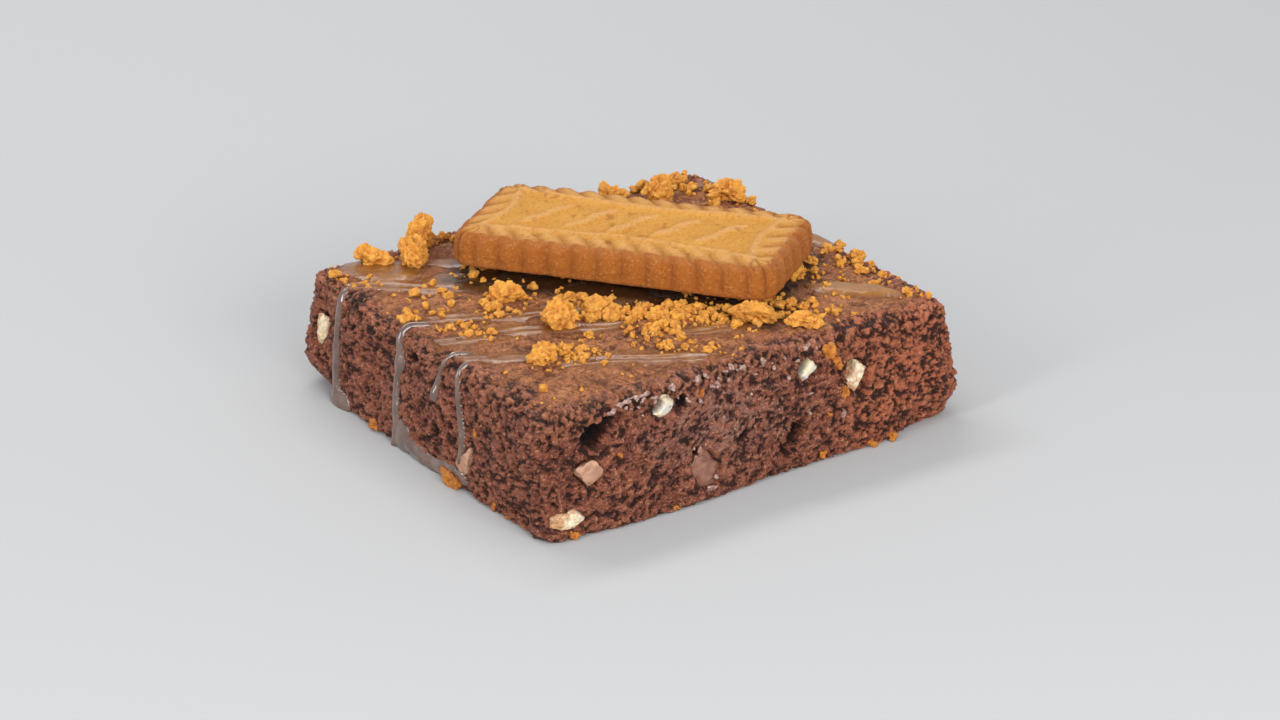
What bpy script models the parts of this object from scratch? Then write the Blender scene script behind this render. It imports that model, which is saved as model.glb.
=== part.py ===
"""A cut slab of chocolate brownie with a caramelised biscuit and biscuit crumbs on top.

The slab stands on its flat base with its origin at the middle of the base. X runs along the longer cut
face, Y along the shorter one and Z is up. Chunks of white and milk chocolate sit in pockets in the cut
faces, sliced flush with them. The biscuit rests on small crumb lumps, clear of the crust. Lengths are in
metres.
"""

import math

import bmesh
import bpy
import numpy as np
from mathutils import Euler, Matrix, Vector

MM = 0.001

# The slab.
SLAB_LENGTH = 92 * MM
SLAB_WIDTH = 84 * MM
SLAB_HEIGHT = 22.5 * MM
CRUST_DOME = 0.6 * MM
CRUST_WAVE = 0.25 * MM
RIM_RADIUS = 2.6 * MM
RIM_TURNS = (30, 60, 90)
FOOT_RADIUS = 1.0 * MM
# Near, right, back and left corners: X side, Y side, radius in plan, how far the foot has crumbled in.
CORNERS = (
    (-1, -1, 3.5 * MM, 0.6 * MM),
    (1, -1, 6 * MM, 3.0 * MM),
    (1, 1, 5 * MM, 1.5 * MM),
    (-1, 1, 6 * MM, 4.5 * MM),
)
CRUMBLE_HEIGHT = 6 * MM
# How far each cut face stands out at its foot, and how far the front rim has worn in.
FRONT_TOE = 2.4 * MM
BULGE_TOE = 1.6 * MM
BULGE_PLACE = -22 * MM
BULGE_WIDTH = 16 * MM
SIDE_TOE = 1.8 * MM
FRONT_WORN = 2.6 * MM
SIDE_WORN = 0.6 * MM
WORN_WIDTH = 30 * MM
FACE_WAVE = 0.4 * MM
EDGE_STEPS = 18
CORNER_STEPS = 4
WALL_RINGS = 10
CRUST_RINGS = 6

# What touches the slab keeps this clearance.
GAP = 0.3 * MM

# The biscuit.
BISCUIT_LENGTH = 63.5 * MM
BISCUIT_WIDTH = 31.5 * MM
BISCUIT_THICKNESS = 6.8 * MM
BISCUIT_CORNER = 5.0 * MM
BISCUIT_CENTRE = (6.2 * MM, 7.4 * MM, 24.9 * MM)
BISCUIT_TILT = (math.radians(-1.6), math.radians(-0.4), math.radians(-52.8))
LOBES_LONG = 11
LOBES_SHORT = 5
LOBE_DEPTH = 0.7 * MM
POINTS_PER_LOBE = 4
BORDER_WIDTH = 4.4 * MM
BORDER_RISE = 0.5 * MM
BISCUIT_BEVEL = 1.4 * MM

# Lumps and chunks are uneven balls with this many rows and columns of points.
BALL_ROWS = 6
BALL_COLUMNS = 10

# Chocolate chunks: name, face, place along it, height, width, tall, deep and turn in degrees.
CHUNKS = (
    ("chunk_white_near", "front", -42.6, 3.6, 7.0, 3.8, 5.0, 8),
    ("chunk_milk_near", "front", -37.5, 11.2, 6.4, 5.2, 5.0, 20),
    ("chunk_white_melted", "front", -20.3, 18.6, 5.2, 4.2, 4.2, -20),
    ("chunk_milk_foot", "front", -13.3, 5.6, 5.6, 8.4, 4.0, -18),
    ("chunk_white_upper", "front", 12.0, 17.2, 5.4, 4.4, 4.5, 30),
    ("chunk_white_right", "front", 22.4, 13.8, 5.0, 7.2, 5.0, -15),
    ("chunk_white_left", "left", 36.0, 12.4, 4.6, 7.6, 4.5, 15),
    ("chunk_milk_left", "left", -15.6, 4.9, 5.0, 7.2, 4.5, 30),
    ("chunk_white_back", "back", -21.0, 9.0, 6.5, 5.0, 5.0, 12),
    ("chunk_milk_back", "back", 17.0, 13.5, 5.6, 5.4, 4.5, -30),
    ("chunk_white_end", "right", 13.0, 7.5, 6.0, 4.6, 5.0, -10),
    ("chunk_milk_end", "right", -19.0, 12.5, 5.4, 6.0, 4.5, 25),
)
CHUNK_SLICE = 0.45

# Hollows baked or torn in the cut faces: face, place along it, height, width, tall, deep and turn.
HOLLOWS = (
    ("front", -34.2, 17.0, 6.4, 3.6, 5.4, 24),
    ("front", 8.0, 6.4, 2.6, 5.6, 5.0, 30),
    ("left", -5.8, 7.6, 1.6, 3.0, 4.0, 0),
    ("back", 2.0, 12.0, 5.0, 2.4, 4.4, -12),
    ("right", 0.0, 15.5, 4.2, 2.4, 4.4, 18),
)

# Biscuit crumb lumps lying on the crust: place X and Y, length, width, height and turn in degrees.
LUMPS = (
    (-34.0, 37.2, 8.2, 4.2, 4.2, -35),
    (-28.5, 31.5, 6.4, 5.6, 6.6, 10),
    (-22.8, 37.6, 7.0, 6.0, 8.6, -30),
    (-21.4, -8.0, 8.0, 6.4, 6.0, -25),
    (9.4, -26.6, 8.6, 6.0, 5.4, -40),
    (-31.8, -19.6, 5.6, 4.8, 4.4, 30),
    (30.5, 33.5, 7.2, 5.8, 6.6, 15),
    (21.8, 38.0, 7.4, 5.0, 4.2, -20),
    (41.0, 24.5, 8.4, 5.2, 5.0, -50),
    (-23.0, 7.2, 6.0, 4.4, 4.0, -30),
    (16.2, -33.6, 6.6, 3.8, 3.4, -45),
)
LUMP_FOOT = 0.62
# Flat lumps that the biscuit rests on, placed along its length and width, with their length and width.
RESTS = ((-27.5, -9.5), (27.0, -8.0), (3.0, 10.0))
REST_SIZE = (5.2 * MM, 4.2 * MM)

# Colours are linear, as a Principled BSDF takes them.
BROWNIE_COLOUR = (0.075, 0.024, 0.012, 1)
BISCUIT_COLOUR = (0.60, 0.25, 0.055, 1)
CRUMB_COLOUR = (0.72, 0.28, 0.04, 1)
WHITE_CHOCOLATE_COLOUR = (0.66, 0.54, 0.33, 1)
MILK_CHOCOLATE_COLOUR = (0.36, 0.19, 0.12, 1)


def finish_material(name, colour, roughness):
    """A plain Principled material for one kind of food."""
    material = bpy.data.materials.new(name)
    material.use_nodes = True
    shader = material.node_tree.nodes["Principled BSDF"]
    shader.inputs["Base Color"].default_value = colour
    shader.inputs["Roughness"].default_value = roughness
    shader.inputs["Metallic"].default_value = 0.0
    return material


def mesh_object(name, points, faces, material):
    """A smooth-shaded object from points in place, with its faces pointing outwards."""
    mesh = bpy.data.meshes.new(name)
    mesh.from_pydata([tuple(point) for point in points], [], faces)
    built = bmesh.new()
    built.from_mesh(mesh)
    bmesh.ops.recalc_face_normals(built, faces=built.faces)
    built.to_mesh(mesh)
    built.free()
    mesh.shade_smooth()
    mesh.set_sharp_from_angle(angle=math.radians(50))
    mesh.materials.append(material)
    made = bpy.data.objects.new(name, mesh)
    bpy.context.scene.collection.objects.link(made)
    return made


def ring_faces(rings, count):
    """Quads between rings of count points each, with a fan to the single first and last points."""
    faces = [(0, 1 + (i + 1) % count, 1 + i) for i in range(count)]
    for ring in range(rings - 1):
        low = 1 + ring * count
        high = low + count
        faces += [(low + i, low + (i + 1) % count, high + (i + 1) % count, high + i) for i in range(count)]
    last = 1 + (rings - 1) * count
    tip = last + count
    faces += [(last + i, last + (i + 1) % count, tip) for i in range(count)]
    return faces


def crust_height(x, y):
    """Height of the crust: a low dome with slow waves."""
    dome = CRUST_DOME * (1 - (2 * x / SLAB_LENGTH) ** 2) * (1 - (2 * y / SLAB_WIDTH) ** 2)
    wave = CRUST_WAVE * (math.sin(95 * x + 1.3) + math.cos(110 * y - 60 * x))
    return SLAB_HEIGHT + dome + wave


def corner_centre(corner):
    """The middle of a corner's arc in plan."""
    side_x, side_y, radius, _ = corner
    return Vector((side_x * (SLAB_LENGTH / 2 - radius), side_y * (SLAB_WIDTH / 2 - radius)))


def slab_outline():
    """Places and outward directions round the slab in plan, with how far each foot has crumbled in."""
    outline = []
    for index, corner in enumerate(CORNERS):
        radius, crumble = corner[2:]
        start = math.radians(180 + 90 * index)
        for step in range(CORNER_STEPS + 1):
            turn = start + math.radians(90) * step / CORNER_STEPS
            out = Vector((math.cos(turn), math.sin(turn)))
            outline.append((corner_centre(corner) + radius * out, out, crumble))
        after = CORNERS[(index + 1) % len(CORNERS)]
        first = outline[-1][0]
        last = corner_centre(after) + after[2] * out
        for step in range(1, EDGE_STEPS):
            share = step / EDGE_STEPS
            eaten = crumble * max(0, 1 - 6 * share) + after[3] * max(0, 6 * share - 5)
            outline.append((first.lerp(last, share), out, eaten))
    return outline


def wall_offset(place, out, crumble, height):
    """How far a point of a cut face stands out: toe at the foot, wear at the rim, waves and crumbling."""
    rise = height / SLAB_HEIGHT
    bulge = BULGE_TOE * math.exp(-(((place.x - BULGE_PLACE) / BULGE_WIDTH) ** 2))
    front = max(0.0, -out.y)
    toe = SIDE_TOE * abs(out.x) + FRONT_TOE * abs(out.y) + bulge * front
    worn = SIDE_WORN + FRONT_WORN * front * math.exp(-((place.x / WORN_WIDTH) ** 2))
    along = place.x * out.y - place.y * out.x
    slow = math.sin(210 * along + 190 * height)
    quick = 0.7 * math.sin(390 * along - 310 * height + 2)
    wave = FACE_WAVE * (slow + quick) * math.sin(math.pi * rise)
    eaten = crumble * max(0.0, 1 - height / CRUMBLE_HEIGHT) ** 1.5
    return toe * (1 - rise) ** 1.3 - worn * rise**2.5 + wave - eaten


def make_slab(material):
    """The slab as rings, out across the base, up the cut faces, round the rim and in over the crust.

    It comes with the shift in plan that put its middle over the origin.
    """
    outline = slab_outline()
    wall_top = SLAB_HEIGHT - RIM_RADIUS
    base = [place + out * (wall_offset(place, out, eaten, 0) - FOOT_RADIUS) for place, out, eaten in outline]
    rings = [[(spot, 0.0) for spot in base]]
    for step in range(WALL_RINGS):
        height = FOOT_RADIUS + (wall_top - FOOT_RADIUS) * step / (WALL_RINGS - 1)
        wall = [place + out * wall_offset(place, out, eaten, height) for place, out, eaten in outline]
        rings.append([(spot, height) for spot in wall])
    for turn in RIM_TURNS:
        bend = math.radians(turn)
        ring = []
        for spot, (_, out, _) in zip(wall, outline):
            inner = spot - out * RIM_RADIUS * (1 - math.cos(bend))
            ring.append((inner, crust_height(*inner) - RIM_RADIUS * (1 - math.sin(bend))))
        rings.append(ring)
    rim = [spot for spot, _ in rings[-1]]
    for ring in range(1, CRUST_RINGS):
        spots = [spot * (1 - ring / CRUST_RINGS) for spot in rim]
        rings.append([(spot, crust_height(*spot)) for spot in spots])
    points = [(0, 0, 0)]
    points += [(spot.x, spot.y, height) for ring in rings for spot, height in ring]
    points.append((0, 0, crust_height(0, 0)))
    points = np.array(points)
    shift = -(points[:, :2].min(0) + points[:, :2].max(0)) / 2
    points[:, :2] += shift
    slab = mesh_object("brownie", points, ring_faces(len(rings), len(outline)), material)
    return slab, Vector(shift)


def ball_points(size, grow, seed):
    """An uneven ball of the given size about the origin, with each point moved out by grow."""
    random = np.random.default_rng(seed)
    bumps = random.normal(size=(4, 3))
    phases = random.uniform(0, 2 * math.pi, 4)
    points = []
    for row in range(BALL_ROWS + 1):
        polar = math.pi * row / BALL_ROWS
        for column in range(BALL_COLUMNS if 0 < row < BALL_ROWS else 1):
            around = 2 * math.pi * (column + 0.5 * (row % 2)) / BALL_COLUMNS
            flat = math.sin(polar)
            way = np.array((flat * math.cos(around), flat * math.sin(around), -math.cos(polar)))
            rough = 1 + 0.05 * np.sin(2.2 * bumps @ way + phases).sum()
            points.append(way * (np.array(size) / 2 * rough + grow))
    return np.array(points)


def face_pose(shift, face, along, height, sunk):
    """A place that lies sunk under a cut face's surface, and the turn about Z that faces out of it."""
    turns = {"front": 0, "right": 90, "back": 180, "left": -90}
    angle = math.radians(turns[face])
    half = (SLAB_WIDTH if face in ("front", "back") else SLAB_LENGTH) / 2
    out = Vector((math.sin(angle), -math.cos(angle)))
    side = Vector((1, 0)) if face in ("front", "back") else Vector((0, 1))
    flat = side * along + out * half
    flat += out * (wall_offset(flat, out, 0.0, height) + shift.dot(out) - sunk)
    return Vector((flat.x, flat.y, height)), angle


def cut_pocket(slab, name, points, place, turn, material):
    """Cuts a ball-shaped pocket from the slab with a hidden cutter."""
    cutter = mesh_object(name, points, ring_faces(BALL_ROWS - 1, BALL_COLUMNS), material)
    cutter.location = place
    cutter.rotation_euler = turn
    cutter.hide_render = True
    cutter.display_type = "WIRE"
    pocket = slab.modifiers.new(name, "BOOLEAN")
    pocket.operation = "DIFFERENCE"
    pocket.solver = "EXACT"
    pocket.object = cutter


def make_chunks(slab, shift, white, milk):
    """Each chunk, sliced flat where the knife went through it, in a pocket a little larger than itself."""
    for seed, (name, face, along, height, wide, tall, deep, turn) in enumerate(CHUNKS):
        slice_depth = CHUNK_SLICE * deep * MM / 2
        place, angle = face_pose(shift, face, along * MM, height * MM, slice_depth)
        tilt = Euler((0, math.radians(turn), 0)).to_matrix()
        pose = (Matrix.Rotation(angle, 3, "Z") @ tilt).to_euler()
        size = (wide * MM, deep * MM, tall * MM)
        chocolate = white if "white" in name else milk
        cut_pocket(slab, f"pocket_{name}", ball_points(size, 1.5 * GAP, seed), place, pose, chocolate)
        points = ball_points(size, 0.0, seed)
        points[:, 1] = np.maximum(points[:, 1], -slice_depth)
        chunk = mesh_object(name, points, ring_faces(BALL_ROWS - 1, BALL_COLUMNS), chocolate)
        chunk.location = place
        chunk.rotation_euler = pose


def make_hollows(slab, shift, material):
    """The open hollows in the cut faces."""
    for seed, (face, along, height, wide, tall, deep, turn) in enumerate(HOLLOWS, 20):
        place, angle = face_pose(shift, face, along * MM, height * MM, 0.0)
        tilt = Euler((0, math.radians(turn), 0)).to_matrix()
        pose = (Matrix.Rotation(angle, 3, "Z") @ tilt).to_euler()
        points = ball_points((wide * MM, deep * MM, tall * MM), 0.0, seed)
        cut_pocket(slab, f"hollow_{seed}", points, place, pose, material)


def biscuit_outline():
    """Places round the biscuit in plan, their outward directions and how many lobes along each one is."""
    half_x = BISCUIT_LENGTH / 2 - BISCUIT_CORNER
    half_y = BISCUIT_WIDTH / 2 - BISCUIT_CORNER
    outline = []
    for side in range(4):
        crosswise = side % 2 == 0
        reach, run = (half_y, half_x) if crosswise else (half_x, half_y)
        lobes = (LOBES_LONG if crosswise else LOBES_SHORT) - 1
        angle = math.radians(90 * side - 90)
        out = Vector((math.cos(angle), math.sin(angle)))
        along = Vector((-out.y, out.x))
        for step in range(lobes * POINTS_PER_LOBE):
            lobe = step / POINTS_PER_LOBE
            place = out * (reach + BISCUIT_CORNER) + along * run * (2 * lobe / lobes - 1)
            outline.append((place, out, lobe))
        centre = out * reach + along * run
        for step in range(2 * POINTS_PER_LOBE):
            turn = angle + math.radians(90) * step / (2 * POINTS_PER_LOBE)
            way = Vector((math.cos(turn), math.sin(turn)))
            outline.append((centre + way * BISCUIT_CORNER, way, step / POINTS_PER_LOBE))
    return outline


def make_biscuit(material):
    """A scalloped plate with a raised border round a sunk panel, lying tilted on its rests."""
    outline = biscuit_outline()
    # Inset, height and how much of the lobes is left, from the base up the edge and over the border.
    levels = (
        (0.5 * MM, 0.0, 1.0),
        (0.0, 0.5 * MM, 1.0),
        (0.0, BISCUIT_THICKNESS - BISCUIT_BEVEL - BORDER_RISE, 1.0),
        (0.35 * BISCUIT_BEVEL, BISCUIT_THICKNESS - 0.4 * BISCUIT_BEVEL - BORDER_RISE, 0.9),
        (BISCUIT_BEVEL, BISCUIT_THICKNESS - 0.1 * MM, 0.6),
        (0.7 * BORDER_WIDTH, BISCUIT_THICKNESS, 0.2),
        (0.88 * BORDER_WIDTH, BISCUIT_THICKNESS - BORDER_RISE, 0.0),
    )
    points = [(0, 0, 0)]
    for inset, height, lobed in levels:
        for place, out, lobe in outline:
            groove = LOBE_DEPTH * lobed * (1 - abs(math.sin(math.pi * lobe)))
            spot = place - out * (inset + groove)
            points.append((spot.x, spot.y, height))
    points.append((0, 0, BISCUIT_THICKNESS - BORDER_RISE))
    made = mesh_object("biscuit", points, ring_faces(len(levels), len(outline)), material)
    made.location = BISCUIT_CENTRE
    made.rotation_euler = BISCUIT_TILT
    return made


def make_crumb_lumps(biscuit, material):
    """The loose lumps lying on the crust, flat underneath, and the thin ones under the biscuit."""
    faces = ring_faces(BALL_ROWS - 1, BALL_COLUMNS)
    for number, (x, y, length, width, height, turn) in enumerate(LUMPS, 1):
        points = ball_points((length * MM, width * MM, height * MM), 0.0, 40 + number)
        points[:, 2] = np.maximum(points[:, 2], -LUMP_FOOT * height * MM / 2)
        points = points @ np.array(Matrix.Rotation(math.radians(turn), 3, "Z")).T
        points[:, :2] += np.array((x, y)) * MM
        floor = [crust_height(*point[:2]) for point in points]
        points[:, 2] += GAP - (points[:, 2] - floor).min()
        mesh_object(f"crumb_lump_{number:02d}", points, faces, material)
    bpy.context.view_layer.update()
    for number, (along, across) in enumerate(RESTS, 1):
        under = biscuit.matrix_world @ Vector((along * MM, across * MM, 0))
        floor = crust_height(under.x, under.y)
        height = (under.z - floor - 2 * GAP) / 1.12
        points = ball_points((*REST_SIZE, height), 0.0, 80 + number)
        points += np.array((under.x, under.y, (under.z + floor) / 2))
        mesh_object(f"crumb_rest_{number}", points, faces, material)


def main():
    for old in list(bpy.data.objects):
        bpy.data.objects.remove(old)
    brownie = finish_material("brownie", BROWNIE_COLOUR, 0.75)
    biscuit = finish_material("biscuit", BISCUIT_COLOUR, 0.7)
    crumb = finish_material("crumb", CRUMB_COLOUR, 0.85)
    white = finish_material("white_chocolate", WHITE_CHOCOLATE_COLOUR, 0.45)
    milk = finish_material("milk_chocolate", MILK_CHOCOLATE_COLOUR, 0.5)
    slab, shift = make_slab(brownie)
    make_chunks(slab, shift, white, milk)
    make_hollows(slab, shift, brownie)
    make_crumb_lumps(make_biscuit(biscuit), crumb)


main()
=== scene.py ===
"""A square-cut chocolate brownie with a caramelised biscuit, biscuit crumbs and a caramel drizzle on top.

The script follows the brownie as it is made: the baked cake and its crust, the chocolate in its cut faces,
the sauce, the biscuit, the crumbs, and last the table and the light. Sizes are in millimetres until a mesh is
made. X runs along the worn front face, Y away from it and Z up, from the middle of the flat base.
"""

import math

import bpy
import numpy as np
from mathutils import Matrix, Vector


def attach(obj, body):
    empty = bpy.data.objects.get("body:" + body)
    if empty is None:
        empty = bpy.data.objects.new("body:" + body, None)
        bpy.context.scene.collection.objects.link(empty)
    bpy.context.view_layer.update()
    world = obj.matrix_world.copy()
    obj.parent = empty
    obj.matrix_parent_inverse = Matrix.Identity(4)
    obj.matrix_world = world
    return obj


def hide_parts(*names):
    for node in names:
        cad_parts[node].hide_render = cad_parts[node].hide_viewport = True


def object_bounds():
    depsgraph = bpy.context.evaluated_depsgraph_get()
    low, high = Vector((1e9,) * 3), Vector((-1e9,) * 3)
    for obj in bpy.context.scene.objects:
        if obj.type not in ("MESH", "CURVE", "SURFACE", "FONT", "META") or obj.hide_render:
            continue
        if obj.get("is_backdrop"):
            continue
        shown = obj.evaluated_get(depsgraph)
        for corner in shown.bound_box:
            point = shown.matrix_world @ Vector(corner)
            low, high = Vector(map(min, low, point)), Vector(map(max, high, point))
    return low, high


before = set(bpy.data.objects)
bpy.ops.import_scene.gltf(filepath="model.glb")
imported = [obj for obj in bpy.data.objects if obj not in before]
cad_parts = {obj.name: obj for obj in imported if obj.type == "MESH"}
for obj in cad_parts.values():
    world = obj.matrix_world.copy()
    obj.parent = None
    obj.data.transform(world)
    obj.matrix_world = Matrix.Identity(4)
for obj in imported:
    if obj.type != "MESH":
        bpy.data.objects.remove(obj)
cad_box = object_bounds()


# ---- Cut cake ----
# The cake is baked in a tray and cut square with a knife: a moist, close crumb with pores and small caves,
# smeared where the blade dragged over it. It stands a little wider at its foot than at its rim.

MM = 0.001
CAKE_LENGTH, CAKE_WIDTH, CAKE_HEIGHT = 92.0, 84.0, 22.5
RIM_RADIUS, FOOT_RADIUS = 2.6, 1.0
# Near, right, back and left corners: side X, side Y, radius in plan, how far the foot has crumbled in.
CAKE_CORNERS = ((-1, -1, 3.5, 0.6), (1, -1, 6.0, 3.0), (1, 1, 5.0, 1.5), (-1, 1, 6.0, 4.5))
CRUMB_CELL = 0.31
# Caves and cracks: face, place along it, height, width, tall, deep and turn in degrees.
CAVES = (
    ("front", -35.2, 17.0, 6.2, 4.4, 4.6, 10),
    ("front", -31.8, 19.2, 5.2, 3.0, 3.6, 28),
    ("front", 7.4, 6.6, 3.0, 6.0, 4.8, -32),
    ("front", 4.8, 4.4, 3.4, 2.2, 3.2, 12),
    ("front", -4.4, 9.5, 3.2, 1.4, 2.2, 10),
    ("front", -16.2, 18.4, 2.2, 2.4, 2.8, 0),
    ("front", 17.0, 20.3, 4.4, 1.6, 2.0, 12),
    ("left", -5.8, 7.6, 2.3, 3.8, 4.0, 8),
    ("left", 3.0, 18.6, 3.4, 2.0, 2.2, 20),
    ("left", 24.0, 17.0, 1.6, 1.0, 1.6, 0),
    ("back", 2.0, 12.0, 4.6, 2.2, 3.6, -12),
    ("back", -30.0, 16.0, 3.2, 1.6, 2.6, 20),
    ("right", 0.0, 15.5, 3.8, 2.2, 3.6, 18),
    ("right", 27.0, 8.0, 2.6, 1.6, 2.6, -25),
)
# Chocolate in the cut faces: kind, face, place along it, height, width, tall, deep and turn in degrees.
CHUNKS = {
    "chunk_white_near": ("white", "front", -42.6, 3.6, 7.0, 3.8, 5.0, 8),
    "chunk_milk_near": ("milk", "front", -37.5, 11.2, 6.4, 5.2, 5.0, 20),
    "chunk_white_melted": ("melted", "front", -20.3, 18.6, 5.2, 4.2, 4.2, -20),
    "chunk_milk_foot": ("milk", "front", -13.3, 5.6, 5.6, 8.4, 4.0, -18),
    "chunk_white_upper": ("melted", "front", 12.0, 17.2, 5.4, 4.4, 4.5, 30),
    "chunk_white_right": ("white", "front", 22.4, 13.8, 5.0, 7.2, 5.0, -15),
    "chunk_white_left": ("white", "left", 36.0, 12.4, 4.6, 7.6, 4.5, 15),
    "chunk_milk_left": ("milk", "left", -15.6, 4.9, 5.0, 7.2, 4.5, 30),
    "chunk_white_back": ("white", "back", -21.0, 9.0, 6.5, 5.0, 5.0, 12),
    "chunk_milk_back": ("milk", "back", 17.0, 13.5, 5.6, 5.4, 4.5, -30),
    "chunk_white_end": ("white", "right", 13.0, 7.5, 6.0, 4.6, 5.0, -10),
    "chunk_milk_end": ("milk", "right", -19.0, 12.5, 5.4, 6.0, 4.5, 25),
}
CAKE_CHUNK_SLICE = 0.45
FACES = {"front": (0, -1), "right": (1, 0), "back": (0, 1), "left": (-1, 0)}


def ramp(low, high, values):
    """A smooth step from 0 at low to 1 at high: 3t^2 - 2t^3 of the share t of the way."""
    share = np.clip((values - low) / (high - low), 0, 1)
    return share * share * (3 - 2 * share)


def lattice_values(cells, seed):
    """A repeatable value from -1 to 1 for each whole-numbered cell: its three numbers mixed by multiplying."""
    mixed = cells[..., 0] * 374761393 + cells[..., 1] * 668265263 + cells[..., 2] * 1442695041 + seed * 97241
    mixed = (mixed ^ (mixed >> 13)) * 1274126177 & 0xFFFFFFFF
    mixed = (mixed ^ (mixed >> 16)) * 2246822519 & 0xFFFFFFFF
    return (mixed ^ (mixed >> 15)) / 2147483647.5 - 1


def turned(points, grain, seed):
    """Points over the grain size, turned by a fixed turn for each seed so that no lattice lines up."""
    axes = np.linalg.qr(np.random.default_rng(seed).normal(size=(3, 3)))[0]
    return points @ axes / grain + 31.7 * seed


def mottle(points, grain, seed):
    """Smooth unevenness from -1 to 1: lattice values at the eight corners of each cell, blended."""
    placed = turned(np.asarray(points, float), np.asarray(grain, float), seed)
    cells = np.floor(placed).astype(np.int64)
    within = placed - cells
    within = within**3 * (within * (within * 6 - 15) + 10)
    total = 0
    for corner in np.ndindex(2, 2, 2):
        weight = np.prod(np.where(corner, within, 1 - within), axis=-1)
        total = total + weight * lattice_values(cells + np.array(corner), seed)
    return total


def layered(points, grain, seed, layers=3, fall=0.5):
    """Mottle at a grain and its halves: each layer half as coarse and weaker by the fall."""
    return sum(fall**n * mottle(points, grain / 2**n, seed + 7 * n) for n in range(layers)) * 0.8


def grains(points, grain, seed):
    """Distance to the nearest and the second nearest of points strewn one to a cell, in cells."""
    placed = turned(np.asarray(points, float), grain, seed)
    cells = np.floor(placed).astype(np.int64)
    near = np.full(len(placed), 9.0)
    second = np.full(len(placed), 9.0)
    for step in np.ndindex(3, 3, 3):
        cell = cells + np.array(step) - 1
        spot = np.stack([lattice_values(cell, seed + n) for n in (11, 23, 37)], -1) * 0.42 + 0.5
        away = np.linalg.norm(cell + spot - placed, axis=-1)
        second = np.minimum(second, np.maximum(near, away))
        near = np.minimum(near, away)
    return near, second


def put_mesh(name, points, faces, material, **marks):
    """A smooth-shaded piece from points in millimetres and quads or triangles, with values per point."""
    mesh = bpy.data.meshes.new(name)
    mesh.from_pydata(points * MM, [], faces)
    mesh.validate()
    for mark, values in marks.items():
        mesh.attributes.new(mark, "FLOAT", "POINT").data.foreach_set("value", values.astype(np.float32))
    mesh.shade_smooth()
    mesh.materials.append(material)
    piece = bpy.data.objects.new(name, mesh)
    bpy.context.scene.collection.objects.link(piece)
    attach(piece, "root")
    return piece


def ring_quads(rings, count):
    """Quads between rings of points that follow one another, each ring closed on itself."""
    low = (np.arange(rings - 1)[:, None] * count + np.arange(count)[None]).ravel()
    after = (np.arange(rings - 1)[:, None] * count + np.roll(np.arange(count), -1)[None]).ravel()
    return np.stack([low, after, after + count, low + count], -1)


def cake_outline(spacing):
    """Places and outward directions round the cake in plan, with how far the foot has crumbled in at each."""
    place, out, eaten = [], [], []
    for index, (side_x, side_y, radius, crumble) in enumerate(CAKE_CORNERS):
        centre = np.array((side_x * (CAKE_LENGTH / 2 - radius), side_y * (CAKE_WIDTH / 2 - radius)))
        steps = max(4, round(radius * math.pi / 2 / spacing))
        angle = math.radians(180 + 90 * index) + np.linspace(0, math.pi / 2, steps + 1)
        way = np.stack([np.cos(angle), np.sin(angle)], -1)
        place.append(centre + radius * way)
        out.append(way)
        eaten.append(np.full(steps + 1, crumble))
        side_x, side_y, next_radius, next_crumble = CAKE_CORNERS[(index + 1) % 4]
        centre = np.array((side_x * (CAKE_LENGTH / 2 - next_radius), side_y * (CAKE_WIDTH / 2 - next_radius)))
        first, last = place[-1][-1], centre + next_radius * way[-1]
        share = np.linspace(0, 1, round(np.linalg.norm(last - first) / spacing) + 1)[1:-1, None]
        place.append(first + (last - first) * share)
        out.append(np.repeat(way[-1:], len(share), 0))
        share = share[:, 0]
        eaten.append(crumble * np.maximum(0, 1 - 6 * share) + next_crumble * np.maximum(0, 6 * share - 5))
    return np.concatenate(place), np.concatenate(out), np.concatenate(eaten)


def cut_offset(place, out, eaten, height):
    """How far a cut face stands out: toe at the foot, wear at the rim, slow waves and the crumbled corners."""
    rise = height / CAKE_HEIGHT
    front = np.maximum(0, -out[:, 1])
    bulge = 1.6 * np.exp(-(((place[:, 0] + 22) / 16) ** 2))
    toe = 1.8 * abs(out[:, 0]) + 2.4 * abs(out[:, 1]) + bulge * front
    worn = 0.6 + 2.6 * front * np.exp(-((place[:, 0] / 30) ** 2))
    along = place[:, 0] * out[:, 1] - place[:, 1] * out[:, 0]
    wave = np.sin(0.21 * along + 0.19 * height) + 0.7 * np.sin(0.39 * along - 0.31 * height + 2)
    wave = 0.4 * wave * np.sin(math.pi * rise)
    return toe * (1 - rise) ** 1.3 - worn * rise**2.5 + wave - eaten * np.maximum(0, 1 - height / 6) ** 1.5


def crust_level(x, y):
    """Height of the smooth crust: a low dome with slow waves."""
    dome = 0.6 * (1 - (2 * x / CAKE_LENGTH) ** 2) * (1 - (2 * y / CAKE_WIDTH) ** 2)
    return CAKE_HEIGHT + dome + 0.25 * (np.sin(0.095 * x + 1.3) + np.cos(0.11 * y - 0.06 * x))


def on_face(face, points):
    """Place along a cut face and height above the foot of points, with a mask of those on that face."""
    out = FACES[face]
    along = points[:, 0] if out[0] == 0 else points[:, 1]
    reach = points[:, 0] * out[0] + points[:, 1] * out[1]
    half = (CAKE_LENGTH if out[0] else CAKE_WIDTH) / 2
    return along, points[:, 2], reach > half - 6


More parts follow.
